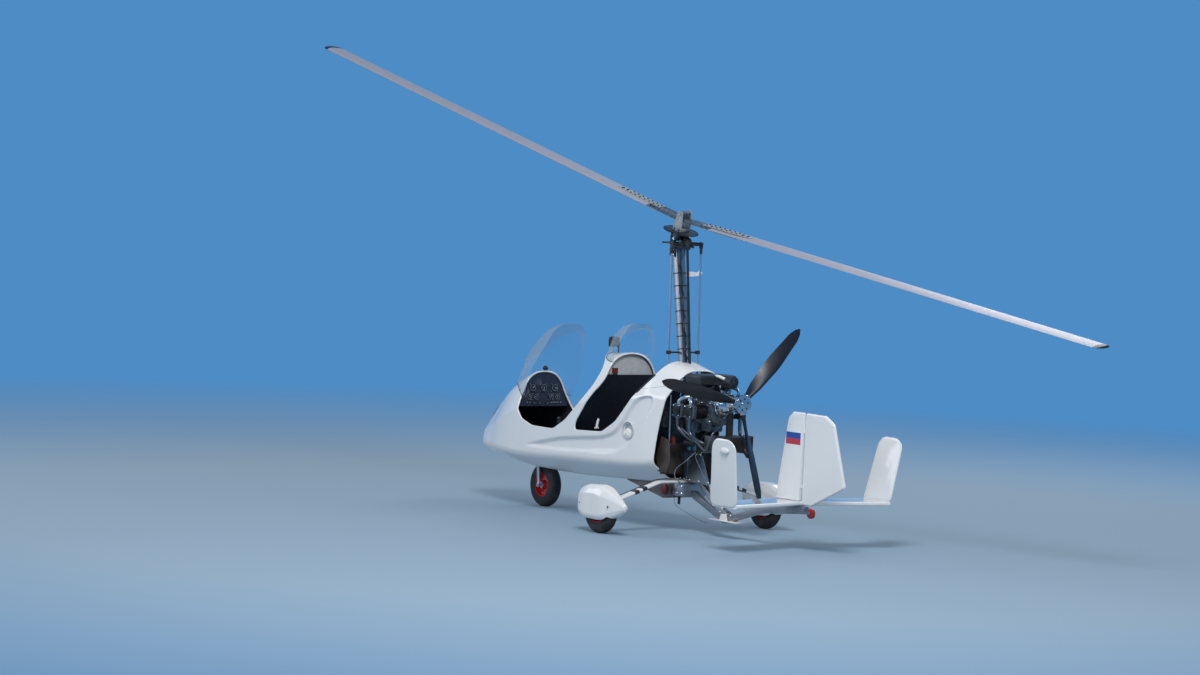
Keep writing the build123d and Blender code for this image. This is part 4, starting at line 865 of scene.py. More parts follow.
def bayField(spots):
    # positive ahead of the engine bay's edge
    flat = sideView(spots)
    bay = engineBay
    slope = (bay["topStation"] - bay["station"]) / (bay["top"] - bay["bend"])
    rise = flat[:, 1] - bay["bend"]
    soft = (rise + np.sqrt(rise ** 2 + bay["reach"] ** 2)) / 2
    low = (-bay["below"] + np.sqrt(bay["below"] ** 2 + bay["reach"] ** 2)) / 2
    return bay["station"] + slope * (soft - low) - bay["reach"] * slope * bay["pull"] - flat[:, 0]


def wellField(spots):
    flat = sideView(spots)
    away = np.hypot(flat[:, 0] - wheelWell["station"], spots[:, 1] * 1000) - wheelWell["radius"]
    return np.where(flat[:, 1] > wheelWell["below"], 100.0, away)


def fuelField(spots):
    flat = sideView(spots)
    away = np.hypot(flat[:, 0] - fuelHole["station"], flat[:, 1] - fuelHole["height"]) - fuelHole["radius"]
    return np.where(spots[:, 1] > 0.0, 100.0, away)


def makeBody():
    shape = bodyGrid()
    tree = BVHTree.FromBMesh(shape)
    pressChannel(shape)
    for field in (skinField(openings["front"]), skinField(openings["rear"]), bayField, wellField, fuelField):
        trim(shape, field)
    loops = rimLoops(shape)
    piece = toPiece(shape, "bodySkin")
    for finish in ("bodyGelcoat", "navyLining"):
        piece.data.materials.append(finishes[finish])
    modify(piece, "SOLIDIFY", thickness=bodyForm["wall"], offset=-1.0, material_offset=1, use_rim=True)
    settle(piece, "airframe", "bodyGelcoat", 60.0)
    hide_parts("fuselage_tub", "rear_cowl")
    kit = Kit("bodyRims")
    for loop in loops:
        bead(kit, loop, bodyForm["wall"] * 0.56, bodyForm["wall"] * 0.5)
    kit.done("airframe", "gelcoat", "white_gelcoat", 80.0)
    return tree, loops


bodyTree, bodyLoops = makeBody()
print("body skin made:", len(bodyLoops), "open edges")


# Geometry Nodes: what repeats is placed by a small tree with named inputs
class Growth:
    kinds = {"count": "NodeSocketInt", "size": "NodeSocketFloat", "step": "NodeSocketVector",
             "finish": "NodeSocketMaterial"}

    def __init__(self, name, **inputs):
        self.tree = bpy.data.node_groups.new(name, "GeometryNodeTree")
        self.names = {}
        face = self.tree.interface
        face.new_socket("Geometry", in_out="INPUT", socket_type="NodeSocketGeometry")
        for label, kind in inputs.items():
            self.names[label] = face.new_socket(label, in_out="INPUT", socket_type=self.kinds[kind]).identifier
        face.new_socket("Geometry", in_out="OUTPUT", socket_type="NodeSocketGeometry")
        self.entry = self.tree.nodes.new("NodeGroupInput")

    def take(self, label="Geometry"):
        return self.entry.outputs[label]

    def add(self, kind, settings=(), sockets=(), output=0):
        node = self.tree.nodes.new(kind)
        for key, value in dict(settings).items():
            setattr(node, key, value)
        for key, value in dict(sockets).items():
            for item in value if isinstance(value, list) else [value]:
                if isinstance(item, bpy.types.NodeSocket):
                    self.tree.links.new(item, node.inputs[key])
                else:
                    node.inputs[key].default_value = item
        return node.outputs[output]

    def close(self, geometry):
        solid = self.add("GeometryNodeRealizeInstances", sockets={"Geometry": geometry})
        dressed = self.add("GeometryNodeSetMaterial", sockets={"Geometry": solid, "Material": self.take("finish")})
        output = self.tree.nodes.new("NodeGroupOutput")
        self.tree.links.new(dressed, output.inputs[0])
        return self

    def apply(self, piece, **values):
        modifier = piece.modifiers.new("growth", "NODES")
        modifier.node_group = self.tree
        for label, value in values.items():
            modifier[self.names[label]] = value
        return bake(piece)


def makeBoltGrowth():
    # a hexagon head on a washer at each point, turned to the point's own direction
    growth = Growth("boltHeads", radius="size", height="size", finish="finish")
    radius, height = growth.take("radius"), growth.take("height")
    lift = growth.add("ShaderNodeMath", {"operation": "MULTIPLY"}, {0: height, 1: 0.6})
    raised = growth.add("ShaderNodeCombineXYZ", sockets={2: lift})
    washerRadius = growth.add("ShaderNodeMath", {"operation": "MULTIPLY"}, {0: radius, 1: 1.5})
    washerHeight = growth.add("ShaderNodeMath", {"operation": "MULTIPLY"}, {0: height, 1: 0.35})
    head = growth.add("GeometryNodeMeshCylinder", sockets={"Vertices": 6, "Radius": radius, "Depth": height})
    head = growth.add("GeometryNodeTransform", sockets={"Geometry": head, "Translation": raised})
    washer = growth.add("GeometryNodeMeshCylinder", sockets={
        "Vertices": 14, "Radius": washerRadius, "Depth": washerHeight})
    bolt = growth.add("GeometryNodeJoinGeometry", sockets={"Geometry": [head, washer]})
    facing = growth.add("GeometryNodeInputNamedAttribute", {"data_type": "FLOAT_VECTOR"}, {"Name": "facing"})
    turn = growth.add("FunctionNodeAlignRotationToVector", {"axis": "Z"}, {"Vector": facing})
    spread = growth.add("GeometryNodeInstanceOnPoints", sockets={
        "Points": growth.take(), "Instance": bolt, "Rotation": turn})
    return growth.close(spread)


def makeRowGrowth():
    # the piece itself, repeated in a straight row
    growth = Growth("straightRow", count="count", step="step", finish="finish")
    line = growth.add("GeometryNodeMeshLine", sockets={"Count": growth.take("count"), "Offset": growth.take("step")})
    item = growth.add("GeometryNodeGeometryToInstance", sockets={"Geometry": growth.take()})
    return growth.close(growth.add("GeometryNodeInstanceOnPoints", sockets={"Points": line, "Instance": item}))


boltGrowth = makeBoltGrowth()
rowGrowth = makeRowGrowth()


def addBolts(name, spots, body, finish, radius=0.006, height=0.006):
    # spots: (place, direction)
    mesh = bpy.data.meshes.new(name)
    mesh.from_pydata([tuple(place) for place, _ in spots], [], [])
    facing = mesh.attributes.new("facing", "FLOAT_VECTOR", "POINT")
    for entry, (_, direction) in zip(facing.data, spots):
        entry.vector = Vector(direction).normalized()
    piece = link(bpy.data.objects.new(name, mesh))
    boltGrowth.apply(piece, radius=radius, height=height, finish=finishes[finish])
    settle(piece, body, finish, 30.0)


def addRow(kit, count, step, body, finish, angle=38.0):
    piece = kit.piece()
    rowGrowth.apply(piece, count=count, step=step, finish=finishes[finish])
    settle(piece, body, finish, angle)


def addPipes(name, finish, slot, runs, replaces=None):
    # runs: radius, sides, steps between points, "one" or "both" sides, places
    kit = Kit(name)
    for radius, sides, steps, which, places in runs:
        for side in bothSides if which == "both" else (1,):
            kit.pipe([beside(place, side) for place in places], radius, sides, steps)
    kit.done("airframe", finish, slot, replaces=replaces)
# Windshields: one blown sheet each, cut off by the body below and by a raked edge behind
shields = {
    "front_windshield": {
        "rings": [
            (500, 14, 18, (50, 960), (66, 1000), (40, 1052)),
            (610, 40, 70, (140, 940), (150, 1080), (84, 1248)),
            (720, 50, 110, (205, 920), (208, 1120), (112, 1384)),
            (850, 60, 140, (258, 900), (256, 1160), (128, 1492)),
            (1000, 60, 150, (278, 900), (280, 1220), (140, 1584)),
            (1240, 60, 150, (280, 900), (292, 1250), (150, 1640)),
        ],
        "rake": [(820, 500), (824, 700), (848, 930), (1180, 1640), (1236, 1760), (2400, 1760), (2400, 500)],
        "pole": (480.0, 1000.0),
    },
    "rear_windshield": {
        "rings": [
            (1862, 14, 20, (70, 1300), (96, 1380), (56, 1470)),
            (1910, 30, 60, (140, 1260), (158, 1400), (88, 1566)),
            (2000, 40, 90, (184, 1240), (204, 1430), (112, 1642)),
            (2100, 45, 105, (200, 1240), (218, 1450), (120, 1684)),
            (2240, 45, 105, (204, 1240), (222, 1460), (122, 1696)),
        ],
        "rake": [(2046, 900), (2052, 1290), (2182, 1700), (2204, 1820), (2900, 1820), (2900, 900)],
        "pole": (1846.0, 1390.0),
    },
    "rakeReach": 150.0,
    "sheet": 0.004,
    "step": 16.0,
    "sealRadius": 0.0042,
    "screwSpacing": 0.085,
    "screwLift": 0.024,  # above the seal
}


def aboveBody(spots):
    heights = []
    for spot in spots:
        place, normal, _, _ = bodyTree.find_nearest(Vector(spot))
        heights.append((Vector(spot) - place).dot(normal) * 1000)
    return np.array(heights)


def makeShield(name):
    form = shields[name]
    stops = evenStops(form["rings"][0][0], form["rings"][-1][0], shields["step"])
    sections = smoothRings(form["rings"], stops, 7, (3, 10, 9, 5))
    shape = gridShape(stops, sections, form["pole"])
    rake = roundOutline(form["rake"], shields["rakeReach"])
    trim(shape, lambda spots: outlineDistance(sideView(spots), rake))
    trim(shape, aboveBody)
    foot = [(place, normal) for loop in rimLoops(shape) for place, normal in loop
            if abs(aboveBody([place])[0]) < 4.0]
    piece = toPiece(shape, name + "Sheet")
    modify(piece, "SOLIDIFY", thickness=shields["sheet"], offset=-1.0)
    settle(piece, "airframe", "glazing", 70.0, name)
    return foot


def makeSeals():
    kit = Kit("shieldSeals")
    screws = []
    for name in ("front_windshield", "rear_windshield"):
        foot = makeShield(name)
        for side in bothSides:
            line = sorted((item for item in foot if item[0].y * side > 0.0), key=lambda item: item[0].x)
            spaced = [line[0][0]]
            nextScrew = shields["screwSpacing"]
            run = 0.0
            for (spot, normal), (before, _) in zip(line[1:], line):
                if (spot - spaced[-1]).length > 0.03:
                    spaced.append(spot)
                run += (spot - before).length
                if run > nextScrew:
                    nextScrew += shields["screwSpacing"]
                    screws.append((spot + Vector((0, 0, shields["screwLift"])) + normal * 0.001, normal))
            kit.pipe(spaced, shields["sealRadius"], 8, 3)
    kit.done("airframe", "sealRubber", "clear_glazing")
    addBolts("shieldScrews", screws, "airframe", "polished", 0.0042, 0.003)


makeSeals()
print("windshields made")




# Rotor: the blades and the bar lie in the frame of the spin joint
joints = {joint["name"]: joint for joint in frame["joints"]}
rotor = {
    "chord": 0.200, "thickness": 0.024, "cone": 3.9, "heading": 15.76,
    "spans": (0.340, 0.360, 0.9, 1.6, 2.4, 3.2, 3.8, 4.150),
    "capSpans": [(4.1504, 1.0), (4.180, 1.0), (4.194, 0.93), (4.1995, 0.72)],  # and share of the chord
}


def makeRotorPlace():
    axis = Vector(joints["rotor_spin"]["axis"])
    aft = Vector((axis.z, 0.0, -axis.x))
    place = Matrix((aft, axis.cross(aft), axis)).transposed().to_4x4()
    return Matrix.Translation(joints["rotor_spin"]["pos_m"]) @ place @ Matrix.Rotation(
        math.radians(rotor["heading"]), 4, "Z")


rotorPlace = makeRotorPlace()
bladePlaces = [rotorPlace @ Matrix.Rotation(turn, 4, "Z") @ Matrix.Rotation(-math.radians(rotor["cone"]), 4, "Y")
               for turn in (0.0, math.pi)]


def bladeSection(chord, thickness, steps=11):
    # rounded leading edge to the front of the turn, thin behind
    upper, lower = [], []
    for index in range(steps + 1):
        t = 0.5 * (1 - math.cos(math.pi * index / steps))
        half = 5 * (0.2969 * math.sqrt(t) - 0.126 * t - 0.3516 * t * t + 0.2843 * t ** 3 - 0.1036 * t ** 4)
        upper.append((chord * (0.5 - t), thickness * 1.25 * half))
        lower.append((chord * (0.5 - t), -thickness * 0.75 * half))
    return upper + lower[-2:0:-1]


def makeBladePiece(name, spans, finish, replaces=None):
    shape = bmesh.new()
    for place in bladePlaces:
        rows = [[shape.verts.new(place @ Vector((x, y, z)))
                 for y, z in bladeSection(rotor["chord"] * share, rotor["thickness"] * share)] for x, share in spans]
        bridge(shape, rows)
        shape.faces.new(list(reversed(rows[0])))
        shape.faces.new(rows[-1])
    bmesh.ops.recalc_face_normals(shape, faces=shape.faces)
    settle(toPiece(shape, name), "rotor", finish, 50.0, replaces)


hubBar = {
    "outline": [(0.0, -0.05), (0.24, -0.05), (0.339, -0.046), (0.339, 0.046), (0.24, 0.05), (0.0, 0.05)],
    "height": 0.025, "block": (0.060, 0.094, 0.070), "blockHeight": 0.030,
    # straps above and below each blade's root, and their bolts
    "strap": [(0.240, -0.046), (0.600, -0.046), (0.720, -0.0161), (0.720, 0.0161), (0.600, 0.046), (0.240, 0.046)],
    "strapHeight": 0.006, "strapLift": 0.0154,
    "boltRow": 0.024, "boltStart": 0.268, "boltPitch": 0.052, "boltCount": 9, "boltLift": 0.020,
    "narrowFrom": 0.6, "narrowing": 0.4,  # the rows come together where the strap narrows
}


def makeHubBar():
    form = hubBar
    kit, iron = Kit("hubBarShape"), Kit("bladeIrons")
    bolts = []
    for place in bladePlaces:
        kit.plate(form["outline"], form["height"], place, 0.003)
        for level in bothSides:
            lift = Matrix.Translation((0, 0, level * form["strapLift"]))
            iron.plate(form["strap"], form["strapHeight"], place @ lift, 0.0015)
        for index in range(form["boltCount"]):
            x = form["boltStart"] + index * form["boltPitch"]
            for row in bothSides:
                for level in bothSides:
                    y = row * form["boltRow"] * (1.0 if x < form["narrowFrom"] else form["narrowing"])
                    bolts.append((place @ Vector((x, y, level * form["boltLift"])),
                                  place.to_3x3() @ Vector((0, 0, level))))
    kit.block(rotorPlace @ Vector((0, 0, form["blockHeight"])), form["block"], 0.006, rotorPlace.to_euler())
    iron.done("rotor", "towerGrey", "rotor_paint")
    kit.done("rotor", "castAlloy", "rotor_paint", replaces="hub_bar")
    addBolts("bladeBolts", bolts, "rotor", "blackPaint", 0.0055, 0.005)


tower = {
    "cheek": [(-0.040, -0.0876), (0.040, -0.0876), (0.040, -0.042), (0.023, 0.062), (0.011, 0.074),
              (-0.011, 0.074), (-0.023, 0.062), (-0.040, -0.042)],
    "cheekSide": 0.061, "cheekThick": 0.010,
    "bolts": [(-0.024, -0.077), (0.024, -0.077), (0.0, 0.048)], "boltSide": 0.067,
    "pinSide": 0.076, "pinHeight": 0.048, "pinRadius": 0.008,
    "base": (0.088, 0.130, 0.026), "baseHeight": -0.085, "shaft": [(-0.075, 0.020), (0.0, 0.020)], "floor": -0.098,
    "ring": [(0.0, 0.034), (0.0, 0.066), (0.0015, 0.069), (0.0015, 0.129), (0.0, 0.132), (0.0, 0.144),
             (0.008, 0.144), (0.008, 0.034), (0.0, 0.034)],
    "ringLow": -0.106, "teeth": 60, "tooth": (0.010, 0.006, 0.008), "toothPlace": (0.145, -0.102),
}


def makeTower():
    form = tower
    kit, gear = Kit("teeterTower"), Kit("prerotatorGear")
    bolts = []
    turn, way = rotorPlace.to_euler(), rotorPlace.to_3x3()
    for side in bothSides:
        aside = Matrix.Translation((0, side * form["cheekSide"], 0))
        kit.plate(form["cheek"], form["cheekThick"], rotorPlace @ aside @ standing, 0.002)
        for x, z in form["bolts"]:
            bolts.append((rotorPlace @ Vector((x, side * form["boltSide"], z)), way @ Vector((0, side, 0))))
    kit.rod(*(rotorPlace @ Vector((0, side * form["pinSide"], form["pinHeight"])) for side in bothSides),
            form["pinRadius"], 18, 0.001)
    kit.block(rotorPlace @ Vector((0, 0, form["baseHeight"])), form["base"], 0.003, turn)
    up = way @ Vector((0, 0, 1))
    kit.drum(form["shaft"], rotorPlace @ Vector((0, 0, form["floor"])), up)
    kit.done("rotor_tower", "towerGrey", "anodised", replaces="rotor_tower")
    addBolts("towerBolts", bolts, "rotor_tower", "polished", 0.0085, 0.008)
    gear.turned(form["ring"], rotorPlace @ Vector((0, 0, form["ringLow"])), up, 64)
    circle, height = form["toothPlace"]
    for index in range(form["teeth"]):
        place = rotorPlace @ Matrix.Rotation(math.tau * index / form["teeth"], 4, "Z")
        gear.block(place @ Vector((circle, 0, height)), form["tooth"], 0.0, place.to_euler())
    gear.done("rotor_tower", "darkAlloy", "anodised", 30.0, "prerotator_ring")


makeBladePiece("bladeSkins", [(x, 1.0) for x in rotor["spans"]], "bladeSkin", "rotor_blades")
makeBladePiece("bladeCaps", rotor["capSpans"], "blackPlastic")
makeHubBar()
makeTower()
print("rotor made")

# Mast, head and control rods; a place is (station, distance to starboard, height)
mastForm = {"topStation": 2.632, "topHeight": 2.385, "cowlStation": 2.802, "cowlHeight": 1.421}
head = {
    "rodTop": (2.752, 0.154, 2.400), "rodFoot": (2.778, 0.154, 1.300), "eyeDrop": 0.909,
    "socket": [(0.0, 0.015), (0.012, 0.017), (0.030, 0.017), (0.034, 0.012), (0.075, 0.012), (0.085, 0.0)],
    "eye": [(0.0, 0.021), (0.030, 0.021)],
    "clutch": [(0.0, 0.030), (0.010, 0.036), (0.052, 0.036), (0.060, 0.028)], "clutchPlace": (2.737, 0.012, 2.390),
    # start, end, radius, sides, radius of the end
    "links": [((2.600, 0.066, 2.407), (2.760, 0.066, 2.372), 0.009, 12, 0.009),
              ((2.715, 0.060, 2.390), (2.753, 0.150, 2.396), 0.012, 14, 0.009)],
    "lever": (0.030, 0.014, 0.046), "leverPlace": (2.721, -0.045, 2.410),
    "boltHeights": (2.300, 2.345, 2.372), "boltSide": 0.0590, "topBolt": (2.652, 0.063, 2.442),
}
lacing = {
    "points": 15, "top": 2.36, "drop": 0.066, "aft": 0.034, "sway": (0.005, 1.9, 0.012, 2.3),
    "second": Vector((0.006, -0.016, 0.0)), "radius": 0.0035,
    "tieFoot": 1.52, "tieCount": 7, "tiePitch": 0.105, "tie": (0.066, 0.098, 0.008), "tieLean": -10.0,
}


def mastAt(height, side=0.0, aft=0.0):
    form = mastForm
    share = (height - form["cowlHeight"]) / (form["topHeight"] - form["cowlHeight"])
    return at(form["cowlStation"] + (form["topStation"] - form["cowlStation"]) * share + aft, side, height)


def makeHead():
    form = head
    for name, finish, bevel in (("mast", "mastSteel", 0.005), ("push_rods", "satinAlloy", 0.0),
                                ("rod_guide", "darkAlloy", 0.002), ("prerotator_shaft", "blackPlastic", 0.0015),
                                ("rotor_head", "darkAlloy", 0.004)):
        dress(name, finish, bevel)
    fittings = Kit("rodFittings")
    bolts = []
    for side in bothSides:
        top, foot = (beside(place, side) for place in (form["rodTop"], form["rodFoot"]))
        run = (foot - top).normalized()
        fittings.drum(form["socket"], top + run * 0.004, run, 16)
        fittings.ball(top + Vector((0, 0, 0.004)), 0.020, (1, 1, 0.8))
        eye = top + run * (form["eyeDrop"] / -run.z)
        fittings.drum(form["eye"], eye - run * 0.015, run, 18)
        bolts += [(mastAt(height, side * form["boltSide"]), (0, side, 0)) for height in form["boltHeights"]]
        bolts.append((beside(form["topBolt"], side), (0, side, 0)))
    # clutch housing, brake lever and their links beside the bearing block
    fittings.drum(form["clutch"], at(*form["clutchPlace"]), (0.20, 0.0, 0.98), 22)
    for side in bothSides:
        for *ends, radius, sides, tip in form["links"]:
            fittings.rod(*(beside(place, side) for place in ends), radius, sides, 0.0, tip)
    fittings.block(at(*form["leverPlace"]), form["lever"], 0.003)
    fittings.done("airframe", "blackPaint", "cast_alloy")
    addBolts("headBolts", bolts, "airframe", "polished", 0.009, 0.008)


def makeLacing():
    form = lacing
    cables, ties = Kit("mastCables"), Kit("mastTies")
    long, longTurn, wide, wideTurn = form["sway"]
    points = [mastAt(form["top"] - index * form["drop"], wide * math.sin(index * wideTurn),
                     form["aft"] + long * math.sin(index * longTurn)) for index in range(form["points"])]
    cables.pipe(points, form["radius"], 8, 5)
    cables.pipe([point + form["second"] for point in points[2:]], form["radius"], 8, 5)
    cables.done("airframe", "blackPlastic", "black_plastic")
    foot, pitch = form["tieFoot"], form["tiePitch"]
    ties.block(mastAt(foot, 0.0, 0.002), form["tie"], 0.002, (0, math.radians(form["tieLean"]), 0))
    addRow(ties, form["tieCount"], mastAt(foot + pitch) - mastAt(foot), "airframe", "blackPlastic")


beacon = {
    "height": 2.147, "aft": 0.036, "thick": 0.012,
    "arm": [(0.048, -0.020), (0.11, -0.016), (0.175, -0.012), (0.175, 0.012), (0.11, 0.016), (0.048, 0.020)],
    "cupSide": 0.173, "cupDrop": 0.012, "cupRise": 0.004, "cupRadius": 0.019, "lensSide": 0.185, "lensRadius": 0.022,
}


def makeBeacon():
    form = beacon
    kit, lens = Kit("beaconArm"), Kit("beaconLens")
    root = mastAt(form["height"], 0.0, form["aft"])
    across = Matrix.Translation(root) @ Matrix.Rotation(math.pi / 2, 4, "Z") @ standing
    kit.plate(form["arm"], form["thick"], across, 0.003)
    kit.rod(root + Vector((0, form["cupSide"], -form["cupDrop"])), root + Vector((0, form["cupSide"], form["cupRise"])),
            form["cupRadius"], 20, 0.002)
    kit.done("airframe", "whitePaint", "white_paint", replaces="beacon")
    lens.ball(root + Vector((0, form["lensSide"], form["cupRise"])), form["lensRadius"], (1, 1, 1.05), 4)
    lens.done("airframe", "beaconGlass", "white_paint")


makeHead()
makeLacing()
makeBeacon()
print("mast and head made")


# Undercarriage: tyres and rims are turned, the fairings are smooth shells
wheels = {
    "places": {"nose": (895.0, 0.0), "left": (2898.0, -0.870), "right": (2898.0, 0.870)},
    "height": 0.190,
    "tyre": [(0.042, 0.1045), (0.047, 0.110), (0.0495, 0.128), (0.0500, 0.148), (0.0475, 0.163), (0.041, 0.176),
             (0.033, 0.1845), (0.024, 0.1885), (0.0205, 0.1892), (0.0190, 0.1868), (0.0170, 0.1868),
             (0.0155, 0.1896), (0.0045, 0.1900), (0.0035, 0.1872), (0.0, 0.1872)],
    "rim": [(0.0420, 0.1035), (0.0440, 0.1035), (0.0440, 0.0985), (0.0405, 0.0965), (0.0180, 0.0900),
            (0.0110, 0.0860), (0.0095, 0.0480), (0.0150, 0.0400), (0.0380, 0.0320), (0.0455, 0.0290), (0.0455, 0.0110)],
    # hole: a thin black disc, painted shade where the rim shows a hole, which is not cut
    "holes": 6, "holeCircle": 0.067, "holeFace": 0.0098, "hole": [(0.0, 0.0125), (0.0004, 0.0125)],
    "holeRim": [(0.0, 0.0125), (0.0, 0.0165), (0.0022, 0.0155), (0.0022, 0.0125), (0.0, 0.0125)],
    "nutCircles": (0.083, 0.048), "nutFace": 0.0105, "brake": (0.030, 0.062, 0.005), "brakeFace": 0.0405,
    "cap": [(0.0, 0.027), (0.004, 0.027), (0.007, 0.0216), (0.007, 0.0105), (0.0, 0.0105), (0.0, 0.027)],
    "capFace": 0.0430,
}


def mirroredProfile(half):
    profile = [(-along, radius) for along, radius in half] + [(along, radius) for along, radius in reversed(half)]
    return profile + profile[:1]


def makeWheels():
    form = wheels
    count = form["holes"]
    for name, (place, side) in form["places"].items():
        body = name + "_wheel"
        centre = at(place / 1000, side, form["height"])

        def onDisc(turn, circle, out):
            return centre + Vector((math.cos(turn) * circle, out, math.sin(turn) * circle))

        tyre, rim, dark, cap = (Kit(name + part) for part in ("TyreBody", "RimBody", "RimHoleShade", "HubCap"))
        tyre.turned(mirroredProfile(form["tyre"]), centre, (0, 1, 0), 72)
        tyre.done(body, "tyreRubber", "tyre_rubber", 32.0, name + "_tyre")
        rim.turned(mirroredProfile(form["rim"]), centre, (0, 1, 0), 60)
        for index in range(count):
            for face in bothSides:
                angle, way = math.tau * index / count, (0, face, 0)
                rim.turned(form["holeRim"], onDisc(angle, form["holeCircle"], face * form["holeFace"]), way, 20)
                # black discs on both faces at each hole: painted shade standing in for the holes
                dark.drum(form["hole"], onDisc(angle, form["holeCircle"], face * (form["holeFace"] + 0.0005)), way, 18)
        rim.done(body, "rimRed", "red_rim", 40.0, name + "_rim")
        dark.done(body, "blackPaint", "red_rim")
        nuts = [(onDisc(math.tau * (index + 0.5) / (2 * count), form["nutCircles"][index % 2], face * form["nutFace"]),
                 (0, face, 0)) for index in range(2 * count) for face in bothSides]
        addBolts(name + "RimBolts", nuts, body, "polished", 0.0038, 0.004)
        if name != "nose":
            brake = Kit(name + "Brake")
            inward = -1 if side > 0 else 1
            brake.collar(*form["brake"], onDisc(0.0, 0.0, inward * form["brakeFace"]), (0, inward, 0), 40)
            brake.done(body, "polished", "red_rim")
        for face in bothSides:
            cap.turned(form["cap"], onDisc(0.0, 0.0, face * form["capFace"]), (0, face, 0), 30)
        cap.done(body, "satinAlloy", "red_rim")


fairing = {
    "rings": [
        (2608, 20, 20, (16, 196), (30, 222), (30, 256), (16, 284)),
        (2650, 46, 52, (44, 150), (62, 192), (62, 292), (40, 340)),
        (2730, 60, 76, (64, 120), (84, 156), (84, 320), (54, 384)),
        (2850, 62, 80, (70, 112), (88, 150), (88, 330), (58, 401)),
        (2985, 60, 76, (70, 116), (88, 152), (88, 318), (54, 392)),
        (3100, 46, 52, (44, 142), (60, 190), (58, 288), (38, 340)),
        (3232, 14, 14, (10, 208), (20, 226), (20, 246), (10, 262)),
    ],
    "front": 2603.0, "noseHeight": 240.0, "tailHeight": 236.0, "tailReach": 4.0, "noseRound": 52.0,
    "noseShare": 0.35, "step": 9.0, "slotHalf": (192.0, 64.0), "slotRound": 44.0, "slotTop": 190.0, "wall": 0.004,
    "bolts": (2.700, 3.085), "boltSide": 0.0765, "boltHeight": 0.235,
}


def makeFairing(name, side):
    form = fairing
    first, last = form["rings"][0][0], form["rings"][-1][0]
    stops = evenStops(first, last, form["step"])
    sections = smoothRings(form["rings"], stops, 7, (2, 5, 12, 5, 2))
    middle = np.array((0.0, form["noseHeight"]))
    for index, stop in enumerate(stops):
        gone = (stop - first) / form["noseRound"]
        if gone < 1:
            swell = form["noseShare"] + (1 - form["noseShare"]) * math.sqrt(1 - (1 - gone) ** 2)
            sections[index] = middle + (sections[index] - middle) * swell
    shape = gridShape(stops, sections, (form["front"], form["noseHeight"]))
    rear = [v for v in shape.verts if abs(v.co.x - station(last / 1000)) < 1e-6]
    end = shape.verts.new(at((last + form["tailReach"]) / 1000, 0.0, form["tailHeight"] / 1000))
    rear.sort(key=lambda v: math.atan2(v.co.z - end.co.z, v.co.y))
    for i in range(len(rear)):
        shape.faces.new((end, rear[i], rear[(i + 1) % len(rear)]))
    bmesh.ops.recalc_face_normals(shape, faces=shape.faces)

    def slotField(spots):
        flat = sideView(spots)
        along = np.abs(flat[:, 0] - wheels["places"][name][0]) - form["slotHalf"][0] + form["slotRound"]
        across = np.abs(spots[:, 1] * 1000) - form["slotHalf"][1] + form["slotRound"]
        outer = np.hypot(np.maximum(along, 0), np.maximum(across, 0)) + np.minimum(np.maximum(along, across), 0)
        return np.where(flat[:, 1] > form["slotTop"], 60.0, outer - form["slotRound"])

    trim(shape, slotField, 0.0006)
    loops = rimLoops(shape)
    piece = toPiece(shape, name + "Fairing")
    piece.data.transform(Matrix.Translation((0, side, 0)))
    modify(piece, "SOLIDIFY", thickness=form["wall"], offset=-1.0)
    settle(piece, "airframe", "gelcoat", 60.0, "wheel_fairings" if name == "left" else None)
    kit = Kit(name + "FairingRim")
    for loop in loops:
        bead(kit, [(spot + Vector((0, side, 0)), normal) for spot, normal in loop], 0.0032, 0.002)
    kit.done("airframe", "sealRubber", "white_gelcoat")
    bolts = [(at(along, side + face * form["boltSide"], form["boltHeight"]), (0, face, 0))
             for along in form["bolts"] for face in bothSides]
    addBolts(name + "FairingBolts", bolts, "airframe", "blackPaint", 0.006, 0.004)


leg = {
    "slope": 0.3325, "root": 0.4213, "knee": 0.320, "station": 2.942,
    "clamps": (0.485, 0.565), "clamp": (0.0800, 0.046, 0.0275), "caliper": (0.050, 0.024, 0.070),
    "caliperPlace": (2.875, 0.812, 0.205),
    "hose": [(2.902, 0.10, 0.438), (2.902, 0.30, 0.436), (2.9015, 0.42, 0.400), (2.901, 0.60, 0.338),
             (2.901, 0.77, 0.280), (2.905, 0.785, 0.240)],
    # bolts: station, distance aside, height
    "sideBolts": [(along, 0.1205, height) for along in (2.885, 2.935, 2.995) for height in (0.385, 0.325)],
    "topBolts": [(2.915, 0.075, 0.4445), (2.969, 0.075, 0.4445)],
}


def makeLegs():
    form = leg
    dress("gear_bow", "gelcoat", 0.007)
    dress("gear_bracket", "keelSteel", 0.003)
    dress("axle_stubs", "satinAlloy", 0.002)
    clamps = Kit("legClamps")
    bolts = []
    for side in bothSides:
        for away in form["clamps"]:
            height = form["root"] - (away - form["knee"]) * form["slope"]
            clamps.block(at(form["station"], side * away, height), form["clamp"], 0.003,
                         (-side * math.atan(form["slope"]), 0, 0))
        clamps.block(beside(form["caliperPlace"], side), form["caliper"], 0.005)
        bolts += [(beside(place, side), (0, side, 0)) for place in form["sideBolts"]]
        bolts += [(beside(place, side), (0, 0, 1)) for place in form["topBolts"]]
    clamps.done("airframe", "blackPaint", "brushed_steel")
    addPipes("brakeHoses", "blackPlastic", "black_plastic", [(0.004, 8, 5, "both", form["hose"])])
    addBolts("bracketBolts", bolts, "airframe", "polished", 0.008, 0.007)


fork = {
    "stem": [(0.0, 0.026), (0.012, 0.026), (0.018, 0.022), (0.050, 0.022)], "stemPlace": (0.865, 0, 0.423),
    "nut": [(0.0, 0.0105), (0.0, 0.019), (0.007, 0.019), (0.009, 0.016), (0.009, 0.0105), (0.0, 0.0105)],
    "nutPlace": (0.895, 0.0805, 0.190), "bolts": [(0.839, 0.0745, 0.4225), (0.891, 0.0745, 0.4225)],
}


